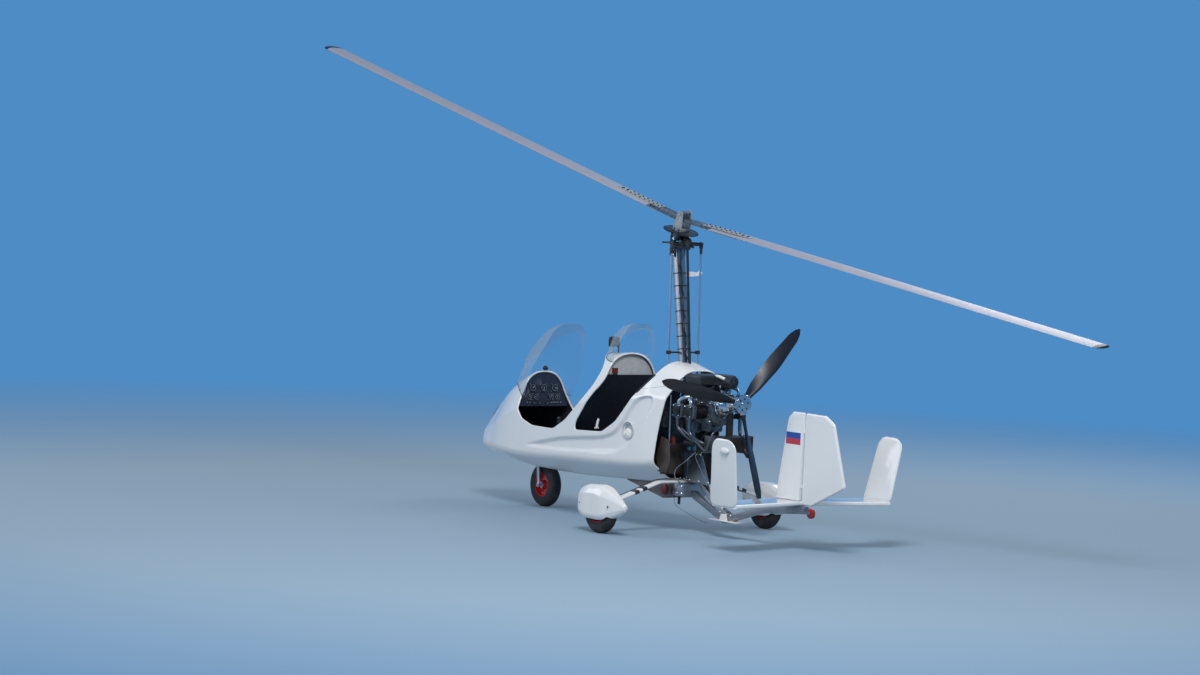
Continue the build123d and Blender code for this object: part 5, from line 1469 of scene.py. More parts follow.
def makeFork():
    dress("nose_fork", "satinAlloy", 0.003)
    dress("nose_wheel_well", "blackPaint", 0.0)
    kit = Kit("forkFittings")
    kit.drum(fork["stem"], at(*fork["stemPlace"]), (0, 0, 1), 24)
    for side in bothSides:
        kit.turned(fork["nut"], beside(fork["nutPlace"], side), (0, side, 0), 20)
    kit.done("nose_fork", "polished", "brushed_steel")
    bolts = [(beside(place, side), (0, 0, 1)) for side in bothSides for place in fork["bolts"]]
    addBolts("forkBolts", bolts, "nose_fork", "blackPaint", 0.006, 0.005)


makeWheels()
for name in ("left", "right"):
    makeFairing(name, wheels["places"][name][1])
makeLegs()
makeFork()
print("undercarriage made")


# Tail: surfaces with rounded noses that thin out behind
surfaces = {
    # outline in station and height, thickness, reach of its corners, thickness left at its rear edge
    "fin": ([(4112, 402), (4236, 1075), (4290, 1122), (4424, 1122), (4414, 402)], 0.0364, 60.0, 0.96),
    "tipFin": ([(4268, 395), (4348, 880), (4398, 930), (4568, 926), (4640, 872), (4606, 420), (4560, 376),
                (4312, 372)], 0.0325, 70.0, 0.30),
    "edge": ((0.004, 0.42), (0.014, 0.72), (0.032, 0.90), (0.07, 1.0)),  # how its rim rounds over
    "thickest": 0.3,
    "tipFoot": (0.797, 0.395), "lean": 8.5,
}


def makeSurface(name, outline, thickness, reach, thin):
    edge = roundOutline(outline, reach, 7) / 1000
    low, high = edge[:, 0].min(), edge[:, 0].max()
    centre = edge.mean(axis=0)
    shape = bmesh.new()
    rim = [shape.verts.new(at(x, 0.0, z)) for x, z in edge]
    thickest = surfaces["thickest"]
    for side in bothSides:
        rows = [rim]
        for share, lift in surfaces["edge"]:
            row = []
            for x, z in edge + (centre - edge) * share:
                gone = max((x - low) / (high - low) - thickest, 0.0) / (1 - thickest)
                half = thickness / 2 * (1.0 - (1.0 - thin) * gone)
                row.append(shape.verts.new(at(x, side * half * lift, z)))
            rows.append(row)
        bridge(shape, rows)
        shape.faces.new(rows[-1])
    bmesh.ops.recalc_face_normals(shape, faces=shape.faces)
    return toPiece(shape, name)


def makeTail():
    fin = makeSurface("finSkin", *surfaces["fin"])
    settle(fin, "airframe", "finGelcoat", 30.0)
    dress("fin", "gelcoat", 0.0).name = "finCore"
    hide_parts("fin")
    away, foot = surfaces["tipFoot"]
    for name, side in (("leftTipFin", -1), ("rightTipFin", 1)):
        piece = makeSurface(name, *surfaces["tipFin"])
        piece.data.transform(Matrix.Translation((0, side * away, foot)) @ Matrix.Rotation(
            math.radians(-side * surfaces["lean"]), 4, "X") @ Matrix.Translation((0, 0, -foot)))
        settle(piece, "airframe", "gelcoat", 30.0, "side_fins" if side < 0 else None)
    dress("stabiliser", "gelcoat", 0.0)
    dress("rudder", "gelcoat", 0.0)


keel = {
    "plate": (0.36, 0.150, 0.006), "platePlace": (3.500, 0.0, 0.147),
    "anchor": [(-0.050, -0.022), (0.050, -0.022), (0.034, 0.030), (-0.034, 0.030)], "anchorThick": 0.012,
    "anchorPlace": (3.480, -0.040, 0.172),
    "gussetBolts": [(3.405, 0.212), (3.45, 0.175), (3.50, 0.200), (3.555, 0.195)], "gussetSide": 0.0305,
    "tailBolts": (4.16, 4.27, 4.38), "tailSide": 0.045, "tailHeight": 0.3595,
}


def makeKeel():
    form = keel
    dress("keel", "keelSteel", 0.004)
    plate, bracket = Kit("keelPlate"), Kit("anchorBracket")
    plate.block(at(*form["platePlace"]), form["plate"], 0.002)
    plate.done("airframe", "whitePaint", "white_paint")
    bracket.plate(form["anchor"], form["anchorThick"], Matrix.Translation(at(*form["anchorPlace"])) @ standing, 0.003)
    bracket.done("airframe", "whitePaint", "white_paint")
    bolts = [(at(along, side * form["gussetSide"], height), (0, side, 0))
             for side in bothSides for along, height in form["gussetBolts"]]
    bolts += [(at(along, side * form["tailSide"], form["tailHeight"]), (0, 0, -1))
              for along in form["tailBolts"] for side in bothSides]
    addBolts("keelBolts", bolts, "airframe", "polished", 0.007, 0.006)


roller = {
    "profile": [(-0.0148, 0.009), (-0.0148, 0.036), (-0.0108, 0.0415), (0.0108, 0.0415), (0.0148, 0.036),
                (0.0148, 0.009), (-0.0148, 0.009)],
    "place": (4.560, 0, 0.318), "cheek": (0.070, 0.006, 0.026), "cheekPlace": (4.535, 0.0185, 0.320),
    "pinPlace": (4.560, 0.026, 0.318), "pinRadius": 0.009,
}


def makeBumper():
    form = roller
    kit, holder = Kit("tailRoller"), Kit("rollerFork")
    kit.turned(form["profile"], at(*form["place"]), (0, 1, 0), 40)
    kit.done("airframe", "redPaint", "red_roller", replaces="tail_bumper")
    for side in bothSides:
        holder.block(beside(form["cheekPlace"], side), form["cheek"], 0.002)
    holder.rod(*(beside(form["pinPlace"], side) for side in bothSides), form["pinRadius"], 14, 0.001)
    holder.done("airframe", "keelSteel", "brushed_steel")


makeTail()
makeKeel()
makeBumper()
print("tail made")


# Engine: a flat four with its intake above, its exhaust below and the reduction gear behind.
# A place is (station, distance to starboard, height). A profile is (distance along the axis, radius).
crankcase = {
    "start": 3.000, "end": 3.340, "half": 0.108, "low": 0.925, "high": 1.130, "round": 0.022,
    "ribs": (0.08, 0.34, 0.62, 0.90), "ribWidth": 0.012, "ribProud": 0.004,  # shares of the length
    "sumpDrop": 0.030, "sump": (0.22, 0.13, 0.062), "sumpRound": 0.014,
    "filter": [(0.0, 0.040), (0.008, 0.043), (0.080, 0.043), (0.088, 0.036)], "filterPlace": (3.10, -0.075, 0.937),
    "starter": [(0.0, 0.036), (0.11, 0.036), (0.12, 0.030), (0.15, 0.030)], "starterPlace": (3.19, 0.065, 1.090),
    "boltStations": (3.03, 3.16, 3.20, 3.31), "boltHeights": (0.955, 1.105),
}


def makeCrankcase():
    form = crankcase
    kit = Kit("crankcaseBody")
    middle, length = (form["start"] + form["end"]) / 2, form["end"] - form["start"]
    height, tall, wide = (form["low"] + form["high"]) / 2, form["high"] - form["low"], 2 * form["half"]
    proud = form["ribProud"]
    kit.block(at(middle, 0, height), (length, wide, tall), form["round"])
    for share in form["ribs"]:
        kit.block(at(form["start"] + length * share, 0, height), (form["ribWidth"], wide + proud, tall + proud), proud)
    kit.block(at(middle, 0, form["low"] - form["sumpDrop"]), form["sump"], form["sumpRound"])
    kit.drum(form["filter"], at(*form["filterPlace"]), (0, -0.2, -1), 26)
    kit.drum(form["starter"], at(*form["starterPlace"]), (1, 0, 0), 26)
    kit.done("airframe", "castAlloy", "cast_alloy", replaces="crankcase")
    bolts = [(at(along, side * (form["half"] + 0.0005), z), (0, side, 0))
             for side in bothSides for along in form["boltStations"] for z in form["boltHeights"]]
    addBolts("crankBolts", bolts, "airframe", "polished", 0.0065, 0.007)


cylinders = {
    "places": [(-1, 3.078), (-1, 3.236), (1, 3.106), (1, 3.264)],  # side, station
    "height": 1.030, "barrel": 0.050, "barrelEnd": 0.222, "headEnd": 0.286, "headHalf": 0.056,
    "finCount": 9, "finPitch": 0.0118, "finRadius": 0.060, "finSheet": 0.0022,
    "head": (0.110, 0.046, 0.112), "headRound": 0.012,
    "cover": (0.088, 0.026, 0.096), "coverRound": 0.011,
    "ribs": (-0.026, -0.0087, 0.0087, 0.026), "rib": (0.005, 0.008, 0.070), "ribRound": 0.0015,
    "coverBolts": [(dx, dz) for dx in (-0.036, 0.036) for dz in (-0.040, 0.040)],
    "stub": [(0.0, 0.024), (0.012, 0.024)],  # for the exhaust pipe
    "plug": [(0.0, 0.009), (0.022, 0.009), (0.022, 0.012), (0.052, 0.010), (0.058, 0.0)],
}


def makeCylinders():
    form = cylinders
    height, half = form["height"], form["headHalf"]
    barrels, heads, covers = Kit("cylinderBarrels"), Kit("cylinderHeads"), Kit("rockerCovers")
    bolts = []
    for index, (side, along) in enumerate(form["places"]):
        way = (0, side, 0)
        start = at(along, side * crankcase["half"], height)
        barrels.rod(start, at(along, side * form["barrelEnd"], height), form["barrel"], 28)
        fin = Kit("coolingFins" + str(index))
        fin.collar(form["barrel"] - 0.001, form["finRadius"], form["finSheet"], start + Vector((0, side * 0.008, 0)),
                   way, 30)
        addRow(fin, form["finCount"], (0.0, side * form["finPitch"], 0.0), "airframe", "darkAlloy", 30.0)
        middle = side * (form["barrelEnd"] + form["headEnd"]) / 2
        heads.block(at(along, middle - side * 0.008, height), form["head"], form["headRound"])
        covers.block(at(along, side * (form["headEnd"] - 0.014), height), form["cover"], form["coverRound"])
        for rib in form["ribs"]:
            covers.block(at(along + rib, side * (form["headEnd"] - 0.002), height), form["rib"], form["ribRound"])
        for dx, dz in form["coverBolts"]:
            bolts.append((at(along + dx, side * (form["headEnd"] - 0.0035), height + dz), way))
        heads.drum(form["stub"], at(along, middle, height - half + 0.004), (0, 0, -1), 20)
        covers.drum(form["plug"], at(along + 0.026, middle - side * 0.012, height + half - 0.008),
                    (0, -side * 0.25, 1), 14)
    barrels.done("airframe", "darkAlloy", "cast_alloy", replaces="cylinders")
    heads.done("airframe", "castAlloy", "cast_alloy")
    covers.done("airframe", "darkAlloy", "cast_alloy")
    addBolts("coverBolts", bolts, "airframe", "polished", 0.0045, 0.006)


intake = {
    "station": 3.165, "crossPipe": [(0.205, 1.112), (0.190, 1.140), (0.10, 1.146)], "crossRadius": 0.019,
    "runnerRadius": 0.017,
    "carbSide": 0.168, "carbLow": 1.152, "carbShifts": (-0.018, 0.034),
    "carb": [(0.0, 0.019), (0.010, 0.0225), (0.036, 0.0225), (0.040, 0.0245), (0.050, 0.0245), (0.052, 0.0215),
             (0.088, 0.0215), (0.098, 0.018), (0.104, 0.009), (0.106, 0.0)],
    "link": (0.052, 0.010, 0.026),
}
airbox = {
    "start": 3.062, "end": 3.285, "half": 0.190, "low": 1.252, "high": 1.336, "round": 0.026,
    "seamDrop": 0.026, "seamProud": 0.006, "seamHeight": 0.010,
    "socketSide": 0.150, "socket": [(0.0, 0.030), (0.040, 0.030), (0.052, 0.034), (0.062, 0.034)],
    "filter": [(0.0, 0.046), (0.006, 0.050), (0.016, 0.050), (0.020, 0.044), (0.064, 0.044), (0.068, 0.050),
               (0.078, 0.050), (0.084, 0.040), (0.086, 0.0)],
    "filterFace": [(0.0, 0.040), (0.003, 0.040), (0.004, 0.034), (0.006, 0.030), (0.007, 0.012), (0.009, 0.010)],
    "filterHeight": 1.290,
    "arm": [(3.250, -0.02, 1.326), (3.300, -0.02, 1.328), (3.370, -0.012, 1.312), (3.415, 0.0, 1.300)],
    "armRadius": 0.013,
}


def makeIntake():
    form = intake
    along, side = form["station"], form["carbSide"]
    kit = Kit("intakeRunners")
    half = form["crossPipe"]
    kit.pipe([at(along, -y, z) for y, z in half] + [at(along, y, z) for y, z in reversed(half)],
             form["crossRadius"], 16, 6)
    for face, place in cylinders["places"]:
        kit.pipe([at(along, face * side, 1.146), at((place + along) / 2, face * 0.225, 1.140),
                  at(place, face * 0.246, 1.110), at(place, face * 0.248, 1.080)], form["runnerRadius"], 14, 5)
    kit.done("airframe", "satinAlloy", "polished_steel", replaces="intake")
    bodies = Kit("carburettors")
    for face in bothSides:
        for shift in form["carbShifts"]:
            foot = at(along + shift, face * (side + 0.006), form["carbLow"] - 0.028)
            bodies.drum(form["carb"], foot, (0, 0, 1), 26)
        bodies.block(at(along, face * (side + 0.024), form["carbLow"] + 0.046), form["link"], 0.003)
    bodies.done("airframe", "polished", "polished_steel")


def makeAirbox():
    form = airbox
    top = Kit("airboxBody")
    middle, length = (form["start"] + form["end"]) / 2, form["end"] - form["start"]
    wide, proud = 2 * form["half"], form["seamProud"]
    height, tall = (form["low"] + form["high"]) / 2, form["high"] - form["low"]
    top.block(at(middle, 0, height), (length, wide, tall), form["round"])
    top.block(at(middle, 0, form["high"] - form["seamDrop"]), (length + proud, wide + proud, form["seamHeight"]), 0.003)
    for side in bothSides:
        top.drum(form["socket"], at(intake["station"], side * form["socketSide"], form["low"] + 0.012), (0, 0, -1), 24)
    top.drum(form["filter"], at(3.400, 0.0, form["filterHeight"]), (1, 0, 0), 36)
    top.done("airframe", "blackPlastic", "black_plastic", replaces="airbox")
    face = Kit("filterFace")
    face.drum(form["filterFace"], at(3.4855, 0.0, form["filterHeight"]), (1, 0, 0), 36)
    face.done("airframe", "darkAlloy", "cast_alloy")
    addPipes("filterArm", "whitePaint", "white_paint", [(form["armRadius"], 14, 6, "one", form["arm"])])


# Hoses and cables: radius, sides, steps between points, one or both sides, places
hoses = {
    "braidedHoses": ("polished", "polished_steel", [
        (0.008, 10, 6, "one", [(3.130, -0.196, 1.235), (3.190, -0.200, 1.246), (3.270, -0.194, 1.240),
                               (3.340, -0.176, 1.214), (3.390, -0.140, 1.160), (3.400, -0.105, 1.115)]),
        (0.007, 10, 6, "one", [(3.150, -0.212, 1.204), (3.220, -0.222, 1.214), (3.300, -0.205, 1.200),
                               (3.350, -0.170, 1.160), (3.368, -0.125, 1.120)]),
        (0.008, 10, 6, "one", [(3.115, 0.20, 1.230), (3.23, 0.212, 1.236), (3.32, 0.18, 1.20), (3.36, 0.12, 1.13)]),
        (0.005, 8, 6, "one", [(3.130, -0.214, 1.160), (3.105, -0.236, 1.130), (3.060, -0.226, 1.150),
                              (3.050, -0.20, 1.20)]),
    ]),
    "coolantHoses": ("blackPlastic", "black_plastic", [
        (0.014, 12, 6, "both", [(3.085, 0.225, 0.960), (3.070, 0.205, 0.900), (2.990, 0.165, 0.860),
                                (2.960, 0.10, 0.800), (2.990, 0.05, 0.740)]),
        (0.009, 10, 6, "both", [(3.245, 0.245, 1.100), (3.250, 0.235, 1.150), (3.30, 0.19, 1.205),
                                (3.32, 0.10, 1.235), (3.26, 0.04, 1.245)]),
        (0.012, 12, 6, "both", [(3.010, 0.09, 1.085), (2.985, 0.13, 1.165), (3.035, 0.17, 1.225),
                                (3.085, 0.15, 1.262)]),
        (0.010, 10, 6, "one", [(3.33, -0.06, 0.95), (3.38, -0.10, 0.92), (3.40, -0.15, 0.96), (3.37, -0.17, 1.02)]),
    ]),
    "plugLeads": ("darkRed", "black_plastic", [
        *((0.0038, 8, 6, "one", [(along + 0.026, side * 0.232, 1.130), (along + 0.035, side * 0.205, 1.168),
                                 (along + 0.015, side * 0.130, 1.172), (3.10, side * 0.060, 1.158),
                                 (3.05, side * 0.03, 1.142)]) for side, along in cylinders["places"]),
        (0.004, 8, 6, "one", [(3.090, -0.09, 1.205), (3.13, -0.12, 1.225), (3.20, -0.10, 1.232),
                              (3.27, -0.07, 1.215)]),
    ]),
    "throttleCables": ("satinAlloy", "anodised", [
        (0.003, 6, 6, "one", [(3.190, -0.14, 0.690), (3.240, -0.170, 0.640), (3.300, -0.165, 0.560),
                              (3.335, -0.135, 0.470), (3.300, -0.09, 0.415)]),
        (0.0035, 6, 6, "one", [(3.190, -0.14, 0.690), (3.120, -0.185, 0.610), (3.020, -0.200, 0.540),
                               (2.990, -0.19, 0.470), (2.985, -0.115, 0.405)]),
        (0.003, 6, 6, "one", [(3.215, 0.16, 1.20), (3.14, 0.20, 1.19), (2.97, 0.12, 1.03), (2.93, 0.06, 0.90)]),
    ]),
}


gearbox = {
    "start": 3.340, "height": 1.090, "axisStation": 3.440, "axisHeight": 1.121,
    "bell": [(0.0, 0.098), (0.012, 0.100), (0.026, 0.100), (0.030, 0.094), (0.070, 0.090), (0.112, 0.078),
             (0.140, 0.064), (0.160, 0.058)],
    "nose": [(0.0, 0.066), (0.020, 0.070), (0.052, 0.070), (0.070, 0.060), (0.090, 0.052), (0.110, 0.050),
             (0.110, 0.018), (0.200, 0.018)],
    "ribs": 8, "ribStation": 3.405, "ribCircle": 0.080, "rib": (0.070, 0.006, 0.022),
    "bolts": 12, "boltCircle": 0.0955,
}


def makeGearbox():
    form = gearbox
    kit = Kit("gearboxBell")
    kit.drum(form["bell"], at(form["start"], 0, form["height"]), (1, 0, 0), 48)
    kit.drum(form["nose"], at(form["axisStation"], 0, form["axisHeight"]), (1, 0, 0), 48)
    for index in range(form["ribs"]):
        angle = math.tau * (index + 0.5) / form["ribs"]
        middle = at(form["ribStation"], 0, form["height"]) + spoke(angle) * form["ribCircle"]
        kit.block(middle, form["rib"], 0.0015, (angle, 0, 0))
    kit.done("airframe", "polished", "polished_steel", replaces="gearbox")
    flange = at(form["start"] + 0.0265, 0, form["height"])
    bolts = [(flange + spoke(math.tau * index / form["bolts"]) * form["boltCircle"], (1, 0, 0))
             for index in range(form["bolts"])]
    addBolts("gearboxBolts", bolts, "airframe", "satinAlloy", 0.0055, 0.006)


exhaust = {
    "pipeRadius": 0.0155, "pipeHeight": 0.778,
    "brace": [
        (0.012, 12, 5, "one", [(3.085, -0.235, 0.892), (3.260, -0.238, 0.820), (3.400, -0.236, 0.742),
                               (3.440, -0.2355, 0.724)]),
        (0.009, 12, 6, "one", [(3.440, -0.2355, 0.726), (3.462, -0.236, 0.745), (3.505, -0.232, 0.835),
                               (3.515, -0.215, 0.880), (3.480, -0.10, 0.940), (3.440, -0.04, 0.985)]),
    ],
    "muffler": (0.132, 0.410, 0.136), "mufflerPlace": (3.450, 0, 0.778), "mufflerRound": 0.030,
    # side, band size, rounding
    "bands": [(0.200, (0.137, 0.008, 0.141), 0.003), (0.095, (0.137, 0.020, 0.141), 0.004)],
    "hanger": (0.056, 0.036, 0.20), "hangerPlace": (3.450, 0, 0.925),
    "tailPipe": (0.020, 0.024, 0.075), "tailShift": (0.045, 0.13, -0.04), "tailWay": (0.7, 0.15, -0.7),
}


def makeExhaust():
    form = exhaust
    runs = []
    low = form["pipeHeight"]
    for order, (side, along) in enumerate(cylinders["places"]):
        rank = order % 2
        end = side * (0.155 - 0.07 * rank)
        runs.append((form["pipeRadius"], 14, 7, "one", [
            (along, side * 0.254, 0.978), (along, side * 0.256, 0.930),
            (along + 0.020, side * 0.250, 0.872 - 0.03 * rank), (along + 0.14, side * 0.215, 0.800 - 0.02 * rank),
            (3.36, end + side * 0.03, low), (3.392, end, low)]))
    addPipes("exhaustRunners", "heatSteel", "polished_steel", runs, "exhaust_pipes")
    addPipes("mufflerBrace", "heatSteel", "polished_steel", form["brace"])
    kit = Kit("mufflerBox")
    centre = at(*form["mufflerPlace"])
    kit.block(centre, form["muffler"], form["mufflerRound"])
    for side in bothSides:
        for away, size, rounding in form["bands"]:
            kit.block(centre + Vector((0, side * away, 0)), size, rounding)
    kit.block(at(*form["hangerPlace"]), form["hanger"], 0.004)
    kit.collar(*form["tailPipe"], centre + Vector(form["tailShift"]), form["tailWay"], 24)
    kit.done("airframe", "blackPaint", "black_paint", replaces="muffler")


bay = {
    "tank": (0.10, 0.115, 0.250), "tankPlace": (2.872, -0.235, 0.990), "tankRound": 0.034,
    "tankCap": [(0.0, 0.028), (0.022, 0.028), (0.028, 0.022)], "capPlace": (2.880, -0.235, 1.112),
    "rod": ((2.955, -0.245, 1.150), (2.962, -0.245, 0.735)), "rodEnd": (2.962, -0.245, 0.732),
    # Side plates in their own plane: outline, thickness, place, bevel
    "shield": ([(0.0, 0.0), (0.12, 0.0), (0.165, 0.10), (0.145, 0.27), (0.03, 0.30), (-0.03, 0.12)], 0.003,
               (2.86, 0.275, 0.500), 0.0008),
    "web": ([(0.0, 0.0), (0.31, 0.0), (0.225, 0.18), (0.17, 0.265), (0.075, 0.265), (0.02, 0.12)], 0.004,
            (2.985, 0.0545, 0.420), 0.001),
    "backShield": ((2.884, 0.0, 0.610), (0.004, 0.53, 0.26), 0.001),  # place, size, bevel
    "webTop": ((3.120, 0, 0.684), (0.15, 0.113, 0.006), 0.002),
    "units": [((3.045, -0.125, 0.655), (0.105, 0.100, 0.070), 0.008),
              ((3.060, 0.130, 0.640), (0.130, 0.110, 0.090), 0.008)],
    "pump": [(0.0, 0.030), (0.09, 0.030), (0.10, 0.020)], "pumpPlace": (3.04, -0.135, 0.755),
    "fluid": [(0.0, 0.022), (0.045, 0.024), (0.05, 0.018), (0.062, 0.018)], "fluidPlace": (2.965, -0.205, 0.740),
    "webBolts": ((3.010, 0.440), (3.14, 0.440), (3.27, 0.440), (3.085, 0.66), (3.15, 0.66)), "boltSide": 0.0568,
}


def makeBay():
    # what shows between the cowl's rear edge and the engine
    dress("engine_mount", "blackPaint", 0.004)
    tank, rod, wall, web = Kit("coolantTank"), Kit("bayRod"), Kit("heatShields"), Kit("keelWebs")
    tank.block(at(*bay["tankPlace"]), bay["tank"], bay["tankRound"])
    tank.drum(bay["tankCap"], at(*bay["capPlace"]), (0, 0, 1), 24)
    tank.done("airframe", "darkAlloy", "cast_alloy")
    rod.rod(*(at(*place) for place in bay["rod"]), 0.006, 12)
    rod.ball(at(*bay["rodEnd"]), 0.013)
    rod.done("airframe", "satinAlloy", "anodised")
    for kit, name in ((wall, "shield"), (web, "web")):
        outline, thickness, place, bevel = bay[name]
        for side in bothSides:
            kit.plate(outline, thickness, Matrix.Translation(beside(place, side)) @ standing, bevel)
    for kit, name in ((wall, "backShield"), (web, "webTop")):
        place, size, bevel = bay[name]
        kit.block(at(*place), size, bevel)
    wall.done("airframe", "brownShield", "brushed_steel")
    web.done("airframe", "mastSteel", "brushed_steel")
    boxes, red = Kit("bayUnits"), Kit("fluidTank")
    for place, size, bevel in bay["units"]:
        boxes.block(at(*place), size, bevel)
    boxes.drum(bay["pump"], at(*bay["pumpPlace"]), (1, 0.2, 0), 22)
    boxes.done("airframe", "darkAlloy", "cast_alloy")
    red.drum(bay["fluid"], at(*bay["fluidPlace"]), (0, 0, 1), 22)
    red.done("airframe", "darkRed", "red_roller")
    bolts = [(at(along, side * bay["boltSide"], height), (0, side, 0))
             for side in bothSides for along, height in bay["webBolts"]]
    addBolts("webBolts", bolts, "airframe", "polished", 0.007, 0.006)


belly = {
    "base": [(0.0, 0.009), (0.012, 0.009), (0.016, 0.004)], "basePlace": (2.852, -0.08, 0.299),
    "whip": [(2.852, -0.08, 0.290), (2.862, -0.082, 0.235), (2.920, -0.085, 0.200), (3.08, -0.09, 0.160),
             (3.22, -0.092, 0.128), (3.33, -0.092, 0.112)],
    "drain": [(0.0, 0.040), (0.010, 0.044), (0.020, 0.044), (0.024, 0.034)], "drainPlace": (2.820, -0.151, 0.345),
}


def makeBelly():
    dress("blade_antenna", "blackPlastic", 0.001)
    dress("belly_tray", "trayMetal", 0.006)
    kit, drain = Kit("whipAntenna"), Kit("trayDrain")
    kit.drum(belly["base"], at(*belly["basePlace"]), (0, 0, -1), 14)
    kit.pipe([at(*place) for place in belly["whip"]], 0.0016, 6, 8)
    kit.done("airframe", "blackPaint", "black_paint")
    drain.drum(belly["drain"], at(*belly["drainPlace"]), (0, -1, 0), 26)
    drain.done("airframe", "darkRed", "red_roller")


# Propeller: three blades clamped in a split hub
propeller = {
    "place": (3.592, 0, 1.121), "radius": 0.855, "hub": 0.078, "half": 0.030, "heading": 47.0, "start": 0.068,
    # share of the way out, chord, thickness, pitch
    "sections": [(0.0, 0.056, 0.040, 62.0), (0.18, 0.104, 0.028, 48.0), (0.5, 0.128, 0.017, 31.0),
                 (0.86, 0.096, 0.010, 20.0), (1.0, 0.046, 0.005, 17.0)],
    "steps": 26, "tipStart": 0.94, "tipLength": 0.062,
    "sleeve": [(0.0, 0.030), (0.022, 0.030), (0.026, 0.026)], "sleeveStart": 0.064,
    "bush": [(0.0, 0.014), (0.0, 0.022), (0.003, 0.022), (0.004, 0.019), (0.004, 0.014), (0.0, 0.014)],
    "bore": 0.0138, "holes": 6, "holeCircle": 0.046, "holeRadius": 0.0085, "boltCircle": 0.063,
}


def bladeForm(share):
    rows = propeller["sections"]
    for first, second in zip(rows, rows[1:]):
        if first[0] <= share <= second[0]:
            t = (share - first[0]) / (second[0] - first[0])
            t = t * t * (3 - 2 * t) * 0.5 + t * 0.5
            return [a + (b - a) * t for a, b in zip(first[1:], second[1:])]


def makePropeller():
    form = propeller
    shape = bmesh.new()
    for index in range(3):
        place = Matrix.Translation(at(*form["place"])) @ Matrix.Rotation(
            math.radians(form["heading"] - 90 + 120 * index), 4, "X")
        rows = []
        for step in range(form["steps"] + 1):
            share = step / form["steps"]
            chord, thickness, pitch = bladeForm(share)
            if share > form["tipStart"]:
                chord *= math.sqrt(max(1 - ((share - form["tipStart"]) / form["tipLength"]) ** 2, 0.06))
            radius = form["start"] + share * (form["radius"] - form["start"] - 0.001)
            angle = math.radians(pitch)
            wide = Vector((math.sin(angle), math.cos(angle), 0))
            deep = Vector((-math.cos(angle), math.sin(angle), 0))
            rows.append([shape.verts.new(place @ (Vector((0, 0, radius)) + wide * x + deep * y))
                         for x, y in bladeSection(chord, thickness * 0.96, 8)])
        bridge(shape, rows)
        shape.faces.new(rows[0])
        shape.faces.new(list(reversed(rows[-1])))
    bmesh.ops.recalc_face_normals(shape, faces=shape.faces)
    settle(toPiece(shape, "propellerSkins"), "propeller", "glossBlack", 45.0, "propeller_blades")


def makeHub():
    form = propeller
    kit, dark = Kit("hubBlock"), Kit("hubHoleShade")
    centre = at(*form["place"])
    corners = []
    for index in range(6):
        for turn in (-11, 11):
            angle = math.radians(form["heading"] + 60 * index + turn)
            corners.append((form["hub"] * math.cos(angle), form["hub"] * math.sin(angle)))
    across = Matrix(((0, 0, 1), (1, 0, 0), (0, 1, 0))).to_4x4()
    kit.plate(corners, 2 * form["half"] - 0.001, Matrix.Translation(centre) @ across, 0.004)
    for index in range(3):
        way = spoke(math.radians(form["heading"] + 120 * index))
        kit.drum(form["sleeve"], centre + way * form["sleeveStart"], way, 30)
    back = centre + Vector((form["half"], 0, 0))
    sunk = back - Vector((0.0004, 0, 0))
    kit.turned(form["bush"], back - Vector((0.0006, 0, 0)), (1, 0, 0), 30)
    kit.done("propeller", "polished", "polished_steel", 32.0, "propeller_hub")
    bolts = []
    # thin black discs on the hub's back at the bore and the holes: painted shade standing in for them, as nothing is
    # cut
    dark.drum([(0.0, form["bore"]), (0.0008, form["bore"])], sunk, (1, 0, 0), 26)
    for index in range(form["holes"]):
        angle = math.radians(form["heading"]) + math.tau * (index + 0.5) / form["holes"]
        dark.drum([(0.0, form["holeRadius"]), (0.0008, form["holeRadius"])],
                  sunk + spoke(angle) * form["holeCircle"], (1, 0, 0), 22)
        way = spoke(angle + math.pi / form["holes"])
        bolts.append((back + way * form["boltCircle"] - Vector((0.0006, 0, 0)), (1, 0, 0)))
    dark.done("propeller", "blackPaint", "polished_steel")
    addBolts("hubBolts", bolts, "propeller", "satinAlloy", 0.0055, 0.006)


makeCrankcase()
makeCylinders()
makeIntake()
makeAirbox()
for name, (finish, slot, runs) in hoses.items():
    addPipes(name, finish, slot, runs)
makeGearbox()
makeExhaust()
makeBay()
makeBelly()
makePropeller()
makeHub()
print("engine and propeller made")


# Cockpit: panel with its instruments, padded seats, sticks and pedals
cockpit = {
    "innerWidth": 0.915,  # keeps the walls inside the pressed channel of the body's sides
    "domeMark": (0.0016, 0.064, 0.046), "domeMarkPlace": (2.0424, -0.157, 1.281),
    # side, height, width
    "domeSwitches": [(-0.216, 1.2497, 0.010), (-0.196, 1.2497, 0.010), (-0.172, 1.2520, 0.022),
                     (-0.145, 1.2530, 0.026)],
    "floor": (1.10, 0.30, 0.004), "floorPlace": (1.30, 0, 0.388),
    "pedal": (0.003, 0.074, 0.004), "pedalPlace": (0.6412, 0.095, 0.522), "pedalPitch": 0.008,
    "latch": [(-0.010, 0.0), (0.012, 0.002), (0.016, 0.040), (0.030, 0.078), (0.012, 0.092), (-0.006, 0.060),
              (-0.014, 0.030)], "latchPlace": (2.035, -0.316, 0.784), "latchPin": (2.035, (-0.334, -0.300), 0.792),
}


